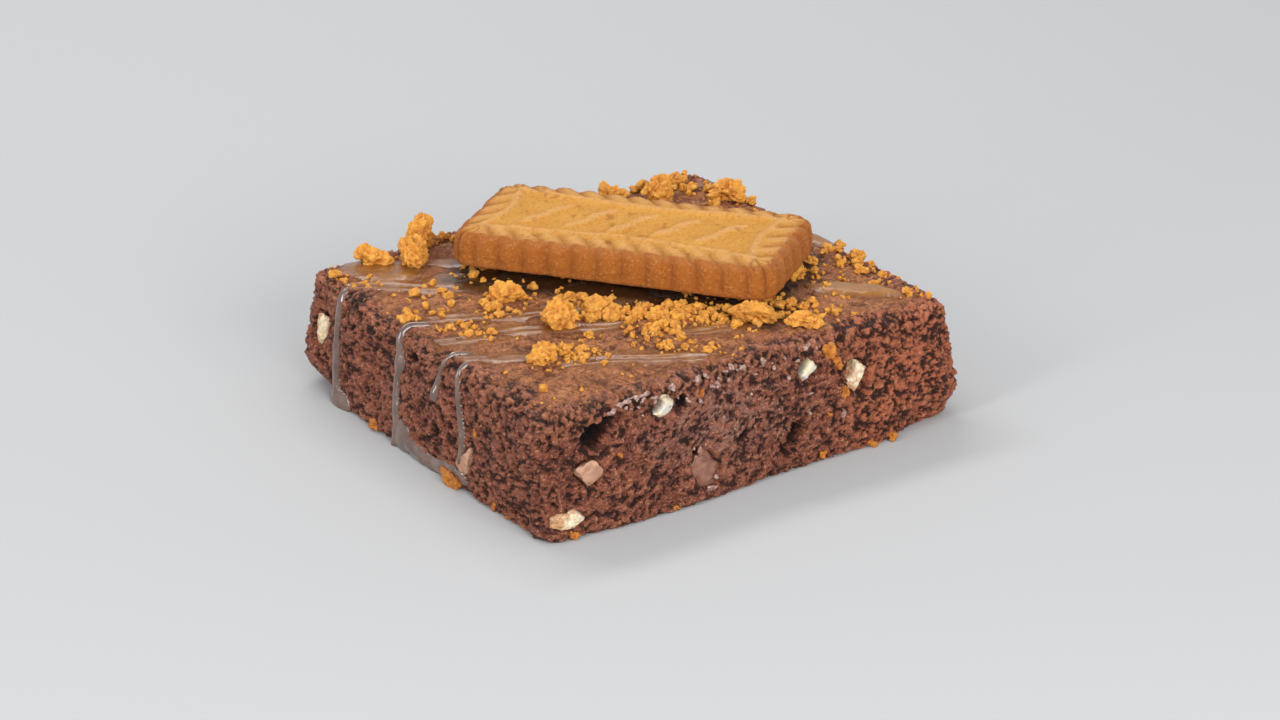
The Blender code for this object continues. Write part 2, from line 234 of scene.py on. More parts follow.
def dent(points, face, along, height, wide, tall, turn, ragged, seed):
    """How deep in an oval hollow each point lies: 1 in its middle, 0 at its ragged edge and beyond."""
    across, up, here = on_face(face, points)
    side = -1 if face in ("left", "back") else 1
    bend = math.radians(turn)
    a = (across - along) * side
    b = up - height
    a, b = a * math.cos(bend) + b * math.sin(bend), b * math.cos(bend) - a * math.sin(bend)
    reach = np.hypot(a / (wide / 2), b / (tall / 2)) + ragged * layered(points, 1.6, seed, 2)
    return np.where(here, np.sqrt(np.clip(1 - reach**2, 0, 1)), 0)


# Drips down the left face: place along it at the rim and at the end, height of the end, width at the rim
# and at the end, and depth.
DRIPS = (
    (29.4, 29.0, 0.0, 1.5, 2.0, 0.34),
    (8.4, 6.9, 0.0, 1.5, 2.2, 0.40),
    (-7.2, -6.0, 15.6, 0.6, 1.3, 0.35),
    (-11.8, -14.4, 6.0, 0.8, 1.3, 0.35),
)
# Where drips have gathered on the left face: place along it, height, length, width, turn and depth.
GATHERED = (
    (27.6, 1.0, 6.0, 3.6, 0, 0.5),
    (7.9, 15.8, 2.6, 4.4, 0, 0.6),
    (-6.0, 15.4, 2.0, 3.4, 0, 0.8),
    (4.6, 2.4, 5.4, 5.4, 20, 0.4),
    (-1.0, 1.4, 11.0, 2.8, 8, 0.45),
    (-11.0, 1.8, 12.0, 2.4, -4, 0.45),
)


def heaped(depths):
    """The greatest of several depths with the joins rounded: the logarithm of the sum of exponentials."""
    return np.log(np.exp(9 * np.array(depths)).sum(0)) / 9


def drip_depth(along, height):
    """How deep sauce lies on the left face: rounded runs down it, and the mounds where they gather."""
    depths = [np.full(np.shape(along), -0.8)]
    for top, end, low, wide, wide_end, deep in DRIPS:
        fallen = np.clip((CAKE_HEIGHT - height) / (CAKE_HEIGHT - low), 0, 1)
        aside = along - top - (end - top) * fallen - 0.35 * np.sin(height / 2.1 + top) * fallen
        half = (wide + (wide_end - wide) * fallen) / 2 * (1 + 0.12 * np.sin(height / 1.7 + 2 * top))
        away = np.hypot(aside / half, np.maximum(0, low - height) / 1.2)
        depths.append(np.maximum(deep * (1 - away**2), -0.8))
    for middle, level, long, wide, turn, deep in GATHERED:
        bend = math.radians(turn)
        a = (along - middle) * math.cos(bend) + (height - level) * math.sin(bend)
        b = (height - level) * math.cos(bend) - (along - middle) * math.sin(bend)
        depths.append(np.maximum(deep * (1 - np.hypot(a / (long / 2), b / (wide / 2)) ** 2), -0.8))
    return heaped(depths) + 0.05 * np.sin(1.9 * along + 0.7 * height) * np.sin(1.1 * height + 2)


place, out, eaten = cake_outline(CRUMB_CELL)
columns = len(place)
wall_top = CAKE_HEIGHT - RIM_RADIUS
heights = np.concatenate([[0.0, 0.25], np.linspace(FOOT_RADIUS * 0.6, wall_top, 58)])
rows, normals = [], []
for height in heights:
    tuck = FOOT_RADIUS * (1 - math.sqrt(max(0, 1 - (1 - min(1, height / FOOT_RADIUS)) ** 2)))
    spot = place + out * (cut_offset(place, out, eaten, height) - tuck)[:, None]
    rows.append(np.column_stack([spot, np.full(columns, height)]))
    normals.append(np.column_stack([out, np.zeros(columns)]))
rim_spot = place + out * cut_offset(place, out, eaten, wall_top)[:, None]
for bend in np.radians(np.linspace(9, 90, 9)):
    spot = rim_spot - out * RIM_RADIUS * (1 - math.cos(bend))
    top = crust_level(*spot.T) - RIM_RADIUS * (1 - math.sin(bend))
    rows.append(np.column_stack([spot, top]))
    normals.append(np.column_stack([out * math.cos(bend), np.full(columns, math.sin(bend))]))
for inward in np.arange(0.4, 6.0, 0.45):
    spot = rim_spot - out * (RIM_RADIUS + inward)
    rows.append(np.column_stack([spot, crust_level(*spot.T) + 0.22 - 0.035 * inward**2]))
    normals.append(normals[-1])
wall = np.concatenate(rows)
normal = np.concatenate(normals)
cake_shift = -(wall[:, :2].min(0) + wall[:, :2].max(0)) / 2
wall[:, :2] += cake_shift
smooth_wall = wall.reshape(-1, columns, 3)

# The crumb: a close grit with fine pores that lie along the layers of the bake, low lumps, and the caves.
# The blade's smear flattens it in the middle of the front face.
stretched = wall * (0.8, 0.62, 1.25)
sway = np.stack([layered(wall, 2.6, 60 + n, 3, 0.7) for n in range(3)], -1)
near, second = grains(stretched + 0.9 * sway, 1.9, 3)
lumps = 0.5 - near
creases = 1 - ramp(0.0, 0.25, second - near)
grit_near = grains(stretched + 0.6 * sway, 0.75, 5)[0]
grit = 0.8 * layered(stretched, 0.9, 6, 2, 0.8) + 0.9 * (0.5 - grit_near)
pores = ramp(0.18, 0.50, layered(stretched + 0.5 * sway, 1.05, 9, 3, 0.7))
pinholes = ramp(0.26, 0.56, mottle(stretched + 0.3 * sway, 0.72, 12))
smear = np.zeros(len(wall))
across, up, here = on_face("front", wall)
smear += here * np.exp(-(((across + 9) / 13) ** 2) - ((up - 13) / 6.0) ** 2)
smear = np.clip(smear * 1.15 + 0.3 * here * mottle(wall, 4.0, 15), 0, 1) * (smear > 0.06)
coarse = here * ramp(14, 26, across) + 0.15 * (1 - here)
rise = wall[:, 2] / CAKE_HEIGHT
crumbled = ramp(0.84, 0.95, rise)
texture = 0.08 * lumps + 0.27 * grit - 0.05 * creases - 0.48 * pores - 0.34 * pinholes
texture += 0.35 * (coarse + crumbled) * (lumps - 0.6 * creases)
height_over = 0.1 + layered(wall, 7.0, 20, 3) * (0.40 + 0.3 * crumbled) + texture * (1 - 0.5 * smear)
height_over += coarse * 0.8 * (0.5 - grains(wall + 1.2 * sway, 3.4, 31)[0])
# Painted shade: hollow says how dark the cut face is painted in its pores and low grit, and near black inside the
# caves.
hollow = np.clip(0.36 - 0.95 * texture, 0, 1)
for seed, (face, along, height, wide, tall, deep, turn) in enumerate(CAVES, 40):
    into = dent(wall, face, along, height, wide, tall, turn, 0.28, seed)
    height_over = height_over * (1 - 0.5 * into) - 1.15 * deep * into**0.6
    hollow = np.maximum(hollow, 1.6 * ramp(0.1, 0.7, into))
for seed, (kind, face, along, height, wide, tall, deep, turn) in enumerate(CHUNKS.values(), 70):
    share, sunk = (0.78, 0.4) if kind == "melted" else (0.92, 0.62)
    into = dent(wall, face, along, height, share * wide + 0.4, share * tall + 0.4, -turn, 0.12, seed)
    height_over = height_over * (1 - into) - sunk * deep * into**0.6
under_drip = ramp(-0.25, 0.1, drip_depth(wall[:, 1], wall[:, 2])) * (normal[:, 0] < -0.5)
height_over = height_over * (1 - under_drip) - 0.1 * under_drip
wall = wall + normal * height_over[:, None]
wall[:, 2] = np.maximum(wall[:, 2], 0)
wall = wall.reshape(-1, columns, 3)
wall[0, :, 2] = 0
# Rings in under the crust and in over the base, ending in one point each.
under_crust = [wall[-1] * (share, share, 1) - (0, 0, 1.2) for share in (0.97, 0.9, 0.5)]
base = [wall[0] * (share, share, 0) for share in (0.5, 0.9, 0.985)]
rings = np.concatenate([base, wall, under_crust])
cake_points = np.concatenate([rings.reshape(-1, 3), [[0, 0, 0], [0, 0, CAKE_HEIGHT - 1.5]]])
cake_faces = ring_quads(len(rings), columns).tolist()
round_ring = np.arange(columns)
last_ring = (len(rings) - 1) * columns
foot_point, top_point = len(cake_points) - 2, len(cake_points) - 1
cake_faces += [[foot_point, (i + 1) % columns, i] for i in round_ring.tolist()]
cake_faces += [[last_ring + i, last_ring + (i + 1) % columns, top_point] for i in round_ring.tolist()]
pad = (3 * columns, 3 * columns + 2)
hollow = np.pad(hollow, pad)
smear = np.pad(smear, pad)
coarse = np.pad(coarse, pad)
toasted = np.pad(ramp(0.80, 0.96, rise + 0.05 * mottle(smooth_wall.reshape(-1, 3), 4, 33)), pad)


def new_material(name, roughness, specular=0.5):
    """A material with its tree, its shader and a function that adds a node and links its inputs."""
    material = bpy.data.materials.new(name)
    material.use_nodes = True
    tree = material.node_tree
    shader = tree.nodes["Principled BSDF"]
    shader.inputs["Roughness"].default_value = roughness
    shader.inputs["Specular IOR Level"].default_value = specular

    def node(kind, links=(), **settings):
        made = tree.nodes.new(kind)
        for key, value in settings.items():
            setattr(made, key, value)
        for socket, source in dict(links).items():
            target = made.inputs[socket]
            if isinstance(source, bpy.types.NodeSocket):
                tree.links.new(source, target)
            else:
                target.default_value = source
        return made

    return material, tree, shader, node


def linear(red, green, blue):
    """A colour written as 0 to 255 shades on screen, as the linear values a shader takes."""
    shades = np.array((red, green, blue)) / 255
    return (*np.where(shades <= 0.04045, shades / 12.92, ((shades + 0.055) / 1.055) ** 2.4), 1)


def speckle(node, grain, detail=3.0, rough=0.6, low=0.35, high=0.65, squash=(1, 1, 1)):
    """A noise of the given grain in millimetres on object coordinates, stretched to run from 0 to 1."""
    where = node("ShaderNodeTexCoord").outputs["Object"]
    where = node("ShaderNodeMapping", {"Vector": where, "Scale": squash}).outputs["Vector"]
    settings = {"Vector": where, "Scale": 1000 / grain, "Detail": detail, "Roughness": rough}
    noise = node("ShaderNodeTexNoise", settings)
    limits = {"Value": noise.outputs["Fac"], "From Min": low, "From Max": high}
    return node("ShaderNodeMapRange", limits).outputs["Result"]


def blend(node, share, first, second, kind="MIX"):
    """A colour mix of first and second by a share."""
    made = node("ShaderNodeMix", data_type="RGBA", blend_type=kind)
    tree = made.id_data
    for socket, source in ((made.inputs[0], share), (made.inputs[6], first), (made.inputs[7], second)):
        if isinstance(source, bpy.types.NodeSocket):
            tree.links.new(source, socket)
        else:
            socket.default_value = source
    return made.outputs[2]


def ramped(node, value, low, high):
    """A share that runs from 0 at low to 1 at high."""
    return node("ShaderNodeMapRange", {"Value": value, "From Min": low, "From Max": high}).outputs["Result"]


def sums(node, operation, first, second):
    """One sum of two numbers, each a value or a socket."""
    return node("ShaderNodeMath", {0: first, 1: second}, operation=operation).outputs[0]


def tint(node, colour, share, most, shades):
    """A colour blended towards shades from 0 to 255 by a share, times the most it may reach."""
    return blend(node, sums(node, "MULTIPLY", share, most), colour, linear(*shades))


def relief(node, shader, height, depth):
    """A bump from a height that runs from 0 to 1 over a depth in millimetres."""
    bump = node("ShaderNodeBump", {"Height": height, "Distance": depth * MM, "Strength": 1.0})
    shader.id_data.links.new(bump.outputs["Normal"], shader.inputs["Normal"])


crumb_cake, tree, shader, node = new_material("cut_cake", 0.55, 0.4)
in_hollow = node("ShaderNodeAttribute", attribute_name="hollow").outputs["Fac"]
smeared = node("ShaderNodeAttribute", attribute_name="smear").outputs["Fac"]
rough_end = node("ShaderNodeAttribute", attribute_name="coarse").outputs["Fac"]
browned = node("ShaderNodeAttribute", attribute_name="toasted").outputs["Fac"]
grit = speckle(node, 0.62, 5, 0.75, 0.30, 0.70, (0.8, 0.6, 1.25))
# Painted shade: the crumb is darkened where the hollow mark and the low grit of the bump lie.
deep_share = ramped(node, sums(node, "SUBTRACT", in_hollow, sums(node, "MULTIPLY", grit, 0.75)), 0.04, 0.42)
# Painted highlight: raised grains of the bump are painted lighter, where light would catch them.
raised_share = ramped(node, sums(node, "SUBTRACT", grit, in_hollow), 0.16, 0.60)
colour = blend(node, speckle(node, 4.0), linear(126, 64, 44), linear(150, 82, 58))
colour = tint(node, colour, browned, 0.7, (166, 98, 66))
colour = tint(node, colour, raised_share, 0.8, (198, 128, 94))
colour = tint(node, colour, rough_end, 0.6, (206, 114, 74))
# The blade's smear is painted a pale grey, partly a real smear and partly painted sheen; it is also made glossier.
smear_share = sums(node, "MULTIPLY", smeared, speckle(node, 1.6, 4, 0.7, 0.38, 0.60))
colour = tint(node, colour, smear_share, 0.75, (156, 116, 102))
# Painted highlight: small pale specks stand in for moist glints on the crumb.
colour = tint(node, colour, speckle(node, 0.4, 2, 0.6, 0.57, 0.67), 0.65, (222, 164, 128))
# Painted shade in the pores and low grit, and near black deep in the caves.
colour = tint(node, colour, deep_share, 0.95, (44, 18, 12))
colour = blend(node, ramped(node, in_hollow, 1.0, 1.5), colour, linear(22, 9, 7))
tree.links.new(colour, shader.inputs["Base Color"])
gloss = sums(node, "SUBTRACT", 0.62, sums(node, "MULTIPLY", speckle(node, 0.9, 2, 0.5, 0.50, 0.62), 0.34))
gloss = sums(node, "SUBTRACT", gloss, sums(node, "MULTIPLY", smear_share, 0.12))
tree.links.new(gloss, shader.inputs["Roughness"])
relief(node, shader, grit, 0.45)
cake = put_mesh("brownie_crumb", cake_points, cake_faces, crumb_cake, hollow=hollow, smear=smear, coarse=coarse,
                toasted=toasted)
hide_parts("brownie")


# ---- Crust ----
# The thin dry skin that forms on top in the oven: a lighter brown, finely wrinkled sheet that breaks up into
# crumb near the rim.

CRUST_CELL = 0.36


def worn_plan(x, y):
    """Plan places of the crust drawn in from its edges, most along the middle of the front rim."""
    near_front = ((CAKE_WIDTH / 2 - y) / CAKE_WIDTH) ** 4
    dx = -0.6 * (2 * x / CAKE_LENGTH) ** 5
    dy = -0.6 * (2 * y / CAKE_WIDTH) ** 5 + 2.6 * np.exp(-((x / 30) ** 2)) * near_front
    return x + dx + cake_shift[0], y + dy + cake_shift[1]


def rounded_plan(x, y, half_x, half_y, radii):
    """Pulls the corner squares of a rectangle on to quarter discs: each point keeps its larger share."""
    radius = np.where(y < 0, np.where(x < 0, radii[0], radii[1]), np.where(x < 0, radii[3], radii[2]))
    over_x = np.maximum(abs(x) - (half_x - radius), 0)
    over_y = np.maximum(abs(y) - (half_y - radius), 0)
    pull = np.maximum(over_x, over_y) / np.maximum(np.hypot(over_x, over_y), 1e-9)
    pull = np.where((over_x > 0) & (over_y > 0), pull, 1)
    inner_x = np.minimum(abs(x), half_x - radius) + over_x * pull
    inner_y = np.minimum(abs(y), half_y - radius) + over_y * pull
    return np.sign(x) * inner_x, np.sign(y) * inner_y


def grid_border(rows, columns):
    """Numbers of a grid's edge points in order, counter-clockwise from its first corner."""
    number = np.arange(rows * columns).reshape(rows, columns)
    return np.concatenate([number[0, :-1], number[:-1, -1], number[-1, :0:-1], number[:0:-1, 0]])


def grid_quads(rows, columns):
    """Quads of a grid of points, facing up when rows run along Y and columns along X."""
    number = np.arange(rows * columns).reshape(rows, columns)
    parts = [number[:-1, :-1], number[:-1, 1:], number[1:, 1:], number[1:, :-1]]
    return np.stack([part.ravel() for part in parts], -1)


half_x, half_y = CAKE_LENGTH / 2 - RIM_RADIUS, CAKE_WIDTH / 2 - RIM_RADIUS
grid_columns, grid_rows = round(2 * half_x / CRUST_CELL), round(2 * half_y / CRUST_CELL)
x, y = np.meshgrid(np.linspace(-half_x, half_x, grid_columns), np.linspace(-half_y, half_y, grid_rows))
radii = [corner[2] - RIM_RADIUS * 0.6 for corner in CAKE_CORNERS]
x, y = rounded_plan(x.ravel(), y.ravel(), half_x, half_y, radii)
border = grid_border(grid_rows, grid_columns)
edge = np.stack([x[border], y[border]], -1)
edge_out = np.roll(edge, -3, 0) - np.roll(edge, 3, 0)
edge_out = np.stack([edge_out[:, 1], -edge_out[:, 0]], -1)
edge_out /= np.linalg.norm(edge_out, axis=1, keepdims=True)
x, y = worn_plan(x, y)
level = crust_level(x, y)
top = np.column_stack([x, y, level])

# The edge dips under the crumbled rim of the cake.
edge = top[border]
walk = edge * (1, 1, 0)
reach = 40 + 12 * layered(walk, 6.0, 83, 4, 0.75)
skirt, skirt_up = [], []
for share in np.linspace(0, 1, 11)[1:]:
    bend = np.radians(reach * share)
    spot = edge[:, :2] + edge_out * (RIM_RADIUS - 0.7) * np.sin(bend)[:, None]
    skirt.append(np.column_stack([spot, edge[:, 2] - (RIM_RADIUS - 0.2) * (1 - np.cos(bend)) - 0.5 * share]))
    skirt_up.append(np.column_stack([edge_out * np.sin(bend)[:, None], np.cos(bend)]))
outer = np.concatenate([top, *skirt])
facing = np.concatenate([np.repeat([[0.0, 0.0, 1.0]], len(top), 0), *skirt_up])
flat = outer * (1, 1, 0.6)
bent = flat + 1.6 * np.stack([mottle(flat, 5, 90 + n) for n in range(3)], -1)
ridges = 1 - abs(layered(bent, 3.6, 93, 3, 0.55)) * 2.2
wrinkles = 1 - abs(mottle(flat * (1, 1.5, 1), 1.3, 101)) * 2
pits = ramp(0.36, 0.62, layered(flat, 1.6, 105, 3, 0.6))
from_side = np.minimum(half_x - abs(flat[:, 0] - cake_shift[0]), half_y - abs(flat[:, 1] - cake_shift[1]))
from_side -= 2.2 * np.exp(-((flat[:, 0] / 30) ** 2)) * (flat[:, 1] < 0)
rough_rim = 1 - ramp(0.0, 6.5, from_side + 1.6 * mottle(flat, 6, 106))
crumbly = 0.5 - grains(flat + 0.8 * mottle(flat, 2.0, 107)[:, None], 1.4, 108)[0]
fissures = ramp(0.09, 0.0, abs(layered(flat, 7.0, 111, 3, 0.6))) * ramp(-0.1, 0.3, mottle(flat, 11, 112))
grit = layered(flat, 1.1, 109, 2, 0.8)
lift = 0.36 * layered(flat, 9.0, 110, 3) + 0.15 * ridges + 0.08 * wrinkles + 0.14 * grit
lift -= 0.45 * pits + 0.35 * fissures
lift += rough_rim * (0.55 * crumbly + 0.22 * grit + 0.35 * layered(flat, 2.4, 114, 3))
lift -= 0.9 * (1 - ramp(-0.5, 3.4, from_side + 2.0 * layered(flat, 6.5, 115, 4, 0.7)))
# Painted shade: how dark the crust is painted in its pits, fissures and the crevices of the crumbly rim and
# ridges.
pitted = np.clip(0.8 * pits + 0.8 * fissures + rough_rim * (0.15 - crumbly) * 0.9 + 0.2 * (0.3 - ridges), 0, 1)


# Sauce runs: each is a thin film from a first place to a last one, this wide, with two threads of this
# depth standing on it.
DRIZZLE = (
    (-47, 31, -11, 10.5, 6.0, 0.24),
    (-41, 10, -14, -5.5, 5.2, 0.22),
    (-42.5, -0.5, -12, -14.0, 5.6, 0.26),
    (-46, -9.5, -29, -18.5, 4.2, 0.16),
    (-28, -23.5, -6, -33.5, 5.8, 0.28),
    (-5, -23.0, 8.5, -29.0, 4.2, 0.28),
    (-26, 31, -10, 24, 5.0, 0.2),
    (26, 23, 44, 12, 5.0, 0.2),
    (10, 41, 44, 33, 4.4, 0.2),
)
# Pools of sauce: middle, length, width, turn in degrees and depth.
POOLS = (
    (-35, 32.5, 18, 11, -40, 0.5),
    (-26, 21, 16, 8, -30, 0.4),
    (33.5, -25.5, 19, 7.0, -50, 0.9),
    (44, -3, 14, 5.5, -70, 0.6),
    (-6, -3, 26, 8, -52, 0.45),
    (6, -17, 18, 8, -52, 0.45),
    (28, 8, 24, 8, -52, 0.4),
    (-14, 15, 22, 9, -52, 0.4),
)


def sauce_depth(px, py):
    """How deep the sauce lies: the deepest of the runs and pools there, each a smooth mound with wavy sides."""
    spots = np.column_stack([px, py, np.zeros(len(px))])
    waver = 0.9 * layered(spots, 7.0, 120, 3)
    depths = [np.full(len(px), -0.8)]
    for x0, y0, x1, y1, wide, deep in DRIZZLE:
        run = np.array((x1 - x0, y1 - y0))
        length = np.linalg.norm(run)
        run = run / length
        along = (px - x0) * run[0] + (py - y0) * run[1]
        aside = (py - y0) * run[0] - (px - x0) * run[1] + 0.8 * np.sin(along / 5.0 + x0) + 0.5 * waver
        over = np.maximum(0, np.maximum(-along, along - length))
        taper = 1 - 0.5 * np.clip(abs(2 * along / length - 1), 0, 1) ** 3
        away = np.hypot(aside / taper, over) / (wide / 2)
        fade = np.exp(-((over / 1.2) ** 2))
        threads = sum(np.exp(-(((aside - step * wide) / 0.75) ** 2)) for step in (-0.24, 0.16))
        threads = threads * (0.75 + 0.5 * mottle(spots, 5.0, 125))
        depths.append(0.13 * np.maximum(1 - away**3, -6) + deep * threads * fade * (away < 1.2))
    for x0, y0, long, wide, turn, deep in POOLS:
        bend = math.radians(turn)
        a = (px - x0) * math.cos(bend) + (py - y0) * math.sin(bend)
        b = (py - y0) * math.cos(bend) - (px - x0) * math.sin(bend)
        away = np.hypot(a / (long / 2), b / (wide / 2)) + 0.22 * waver
        depths.append(deep * np.clip(1.6 * (1 - away**2), -1.2, 1))
    return heaped(depths)


def beside_biscuit(px, py):
    """How dark the sauce and crust are painted under and just in front of the biscuit, as its painted shadow: 1
    under it, 0 five mm away.
    """
    bend = math.radians(-52.8)
    a = (px - 5.0) * math.cos(bend) + (py - 6.0) * math.sin(bend)
    b = (py - 6.0) * math.cos(bend) - (px - 5.0) * math.sin(bend)
    spots = np.column_stack([px, py, np.zeros(len(px))])
    return 1 - ramp(0.0, 6.0, np.maximum(abs(a) - 30.0, abs(b) - 15.5) + 1.5 * layered(spots, 4.0, 130, 3))


sauced = sauce_depth(outer[:, 0], outer[:, 1])
wet = ramp(-0.5, 0.0, sauced)
lift *= 1 - 0.75 * wet
pitted *= 1 - 0.7 * wet
outer = outer + facing * (lift + 0.12)[:, None]
rim_count = len(border)
lip = outer[-rim_count:]
inward = np.column_stack([-edge_out, np.zeros(rim_count)])
tuck = [lip + inward * 0.5 - (0, 0, 0.25), lip + inward * 1.6 + (0, 0, 0.1)]
tuck += [np.column_stack([(lip * share)[:, :2], np.full(rim_count, CAKE_HEIGHT - 1.2)]) for share in (0.9, 0.5)]
crust_points = np.concatenate([outer, *tuck, [[0, 0, CAKE_HEIGHT - 1.2]]])
crust_faces = grid_quads(grid_rows, grid_columns).tolist()
skirt_rings = np.concatenate([border, np.arange(len(top), len(crust_points) - 1)]).reshape(-1, rim_count)
after = np.roll(skirt_rings, -1, 1)
strips = np.stack([after[:-1], skirt_rings[:-1], skirt_rings[1:], after[1:]], -1)
crust_faces += strips.reshape(-1, 4).tolist()
centre = len(crust_points) - 1
crust_faces += [[b, a, centre] for a, b in zip(skirt_rings[-1].tolist(), after[-1].tolist())]
spare = (0, len(crust_points) - len(outer))
crusty, tree, shader, node = new_material("baked_crust", 0.6, 0.3)
in_pit = node("ShaderNodeAttribute", attribute_name="hollow").outputs["Fac"]
damp = node("ShaderNodeAttribute", attribute_name="wet").outputs["Fac"]
soaked = node("ShaderNodeAttribute", attribute_name="soak").outputs["Fac"]
grit = speckle(node, 0.7, 5, 0.75, 0.30, 0.70)
colour = blend(node, speckle(node, 6.0, 3, 0.6), linear(192, 114, 68), linear(214, 138, 88))
colour = tint(node, colour, speckle(node, 2.6, 4, 0.7, 0.48, 0.62), 0.7, (124, 64, 38))
# Painted highlight and shade: the crust is painted lighter on the high grit of its bump and darker in the low
# grit.
colour = tint(node, colour, ramped(node, grit, 0.55, 0.85), 0.8, (240, 178, 128))
colour = tint(node, colour, ramped(node, grit, 0.46, 0.12), 0.85, (84, 38, 22))
colour = tint(node, colour, damp, 0.45, (120, 74, 36))
# Painted shadow of the biscuit: near black under it and just in front of it.
colour = tint(node, colour, soaked, 0.9, (50, 27, 16))
# Painted shade in the pits, fissures and crevices.
colour = tint(node, colour, in_pit, 0.9, (52, 24, 17))
tree.links.new(colour, shader.inputs["Base Color"])
dry = sums(node, "SUBTRACT", 0.62, sums(node, "MULTIPLY", speckle(node, 2.2, 3, 0.5, 0.45, 0.65), 0.14))
tree.links.new(sums(node, "SUBTRACT", dry, sums(node, "MULTIPLY", damp, 0.28)), shader.inputs["Roughness"])
relief(node, shader, grit, 0.55)
crust = put_mesh("brownie_crust", crust_points, crust_faces, crusty, hollow=np.pad(pitted, spare),
                 wet=np.pad(wet, spare), soak=np.pad(beside_biscuit(outer[:, 0], outer[:, 1]), spare))
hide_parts("brownie")


# ---- Chocolate chunks ----
# Pieces of white and milk chocolate baked into the cake. The knife sliced them flush with the cut faces;
# some of the white ones melted at the surface and set again as glossy drops.


def ball(rows, columns):
    """Directions over a ball, from a grid of polar angle and turn: rows of points between two poles."""
    polar = np.linspace(0, math.pi, rows + 1)[1:-1]
    turn = np.arange(columns) * 2 * math.pi / columns
    polar, turn = np.meshgrid(polar, turn, indexing="ij")
    ways = np.stack([np.sin(polar) * np.cos(turn), np.sin(polar) * np.sin(turn), -np.cos(polar)], -1)
    return np.concatenate([ways.reshape(-1, 3), [[0, 0, -1], [0, 0, 1]]])


def ball_faces(rows, columns):
    """Quads and end triangles of a ball of the same grid."""
    ring = np.arange(columns)
    after = np.roll(ring, -1)
    last = (rows - 2) * columns
    south, north = (rows - 1) * columns, (rows - 1) * columns + 1
    faces = ring_quads(rows - 1, columns).tolist()
    faces += np.stack([after, ring, np.full(columns, south)], -1).tolist()
    faces += np.stack([last + ring, last + after, np.full(columns, north)], -1).tolist()
    return faces


def turn_about(axis, degrees):
    """A turn about X, Y or Z as a matrix, for points in rows."""
    bend = math.radians(degrees)
    first, second = [(1, 2), (2, 0), (0, 1)]["XYZ".index(axis)]
    matrix = np.eye(3)
    matrix[[first, second], [first, second]] = math.cos(bend)
    matrix[second, first] = math.sin(bend)
    matrix[first, second] = -math.sin(bend)
    return matrix.T


def face_place(face, along, height, sunk):
    """A place sunk under a cut face, with the turn about Z that faces out of it."""
    way = np.array(FACES[face], float)
    half = (CAKE_LENGTH if way[0] else CAKE_WIDTH) / 2
    flat = np.array((along, 0.0) if way[1] else (0.0, along)) + way * half
    stand = cut_offset(flat[None], way[None], np.zeros(1), height)[0]
    flat += way * (stand + way @ cake_shift - sunk)
    return np.array((*flat, height)), {"front": 0, "right": 90, "back": 180, "left": -90}[face]


def faceted(ways, count, low, high, seed):
    """How far an angular lump reaches along each way: the nearest of random planes, with its edges softened."""
    chance = np.random.default_rng(seed)
    planes = chance.normal(size=(len(ways), count, 3))
    planes /= np.linalg.norm(planes, axis=-1, keepdims=True)
    offsets = chance.uniform(low, high, (len(ways), 1, count))
    towards = np.maximum(np.einsum("nwi,nki->nwk", ways, planes), 0.05)
    return ((towards / offsets) ** 9).sum(-1) ** (-1 / 9)


white, tree, shader, node = new_material("white_chocolate", 0.42)
broken = node("ShaderNodeAttribute", attribute_name="broken").outputs["Fac"]
colour = blend(node, speckle(node, 1.6, 3, 0.6), linear(240, 228, 202), linear(228, 208, 168))
colour = tint(node, colour, broken, 0.8, (178, 112, 56))
colour = blend(node, speckle(node, 0.5, 2, 0.6, 0.62, 0.78), colour, linear(150, 100, 60))
tree.links.new(colour, shader.inputs["Base Color"])
shader.inputs["Subsurface Weight"].default_value = 0.15
shader.inputs["Subsurface Scale"].default_value = 0.002
relief(node, shader, speckle(node, 0.6, 3, 0.6), 0.15)

melted, tree, shader, node = new_material("melted_white_chocolate", 0.25)
broken = node("ShaderNodeAttribute", attribute_name="broken").outputs["Fac"]
colour = blend(node, speckle(node, 2.2, 2, 0.5, 0.4, 0.6), linear(196, 190, 180), linear(214, 198, 164))
colour = blend(node, broken, colour, linear(84, 50, 36))
tree.links.new(colour, shader.inputs["Base Color"])
shader.inputs["Subsurface Weight"].default_value = 0.15
shader.inputs["Subsurface Scale"].default_value = 0.002
shader.inputs["Coat Weight"].default_value = 0.6
shader.inputs["Coat Roughness"].default_value = 0.12

milk, tree, shader, node = new_material("milk_chocolate", 0.42)
broken = node("ShaderNodeAttribute", attribute_name="broken").outputs["Fac"]
colour = blend(node, speckle(node, 2.0, 3, 0.5), linear(184, 140, 114), linear(160, 116, 94))
colour = blend(node, broken, colour, linear(204, 160, 124))
tree.links.new(colour, shader.inputs["Base Color"])
relief(node, shader, speckle(node, 0.7, 2, 0.5), 0.08)

milk_smear, tree, shader, node = new_material("smeared_milk_chocolate", 0.32)
colour = blend(node, speckle(node, 2.0, 3, 0.5), linear(150, 106, 88), linear(120, 78, 62))
tree.links.new(colour, shader.inputs["Base Color"])
relief(node, shader, speckle(node, 1.5, 2, 0.5), 0.12)

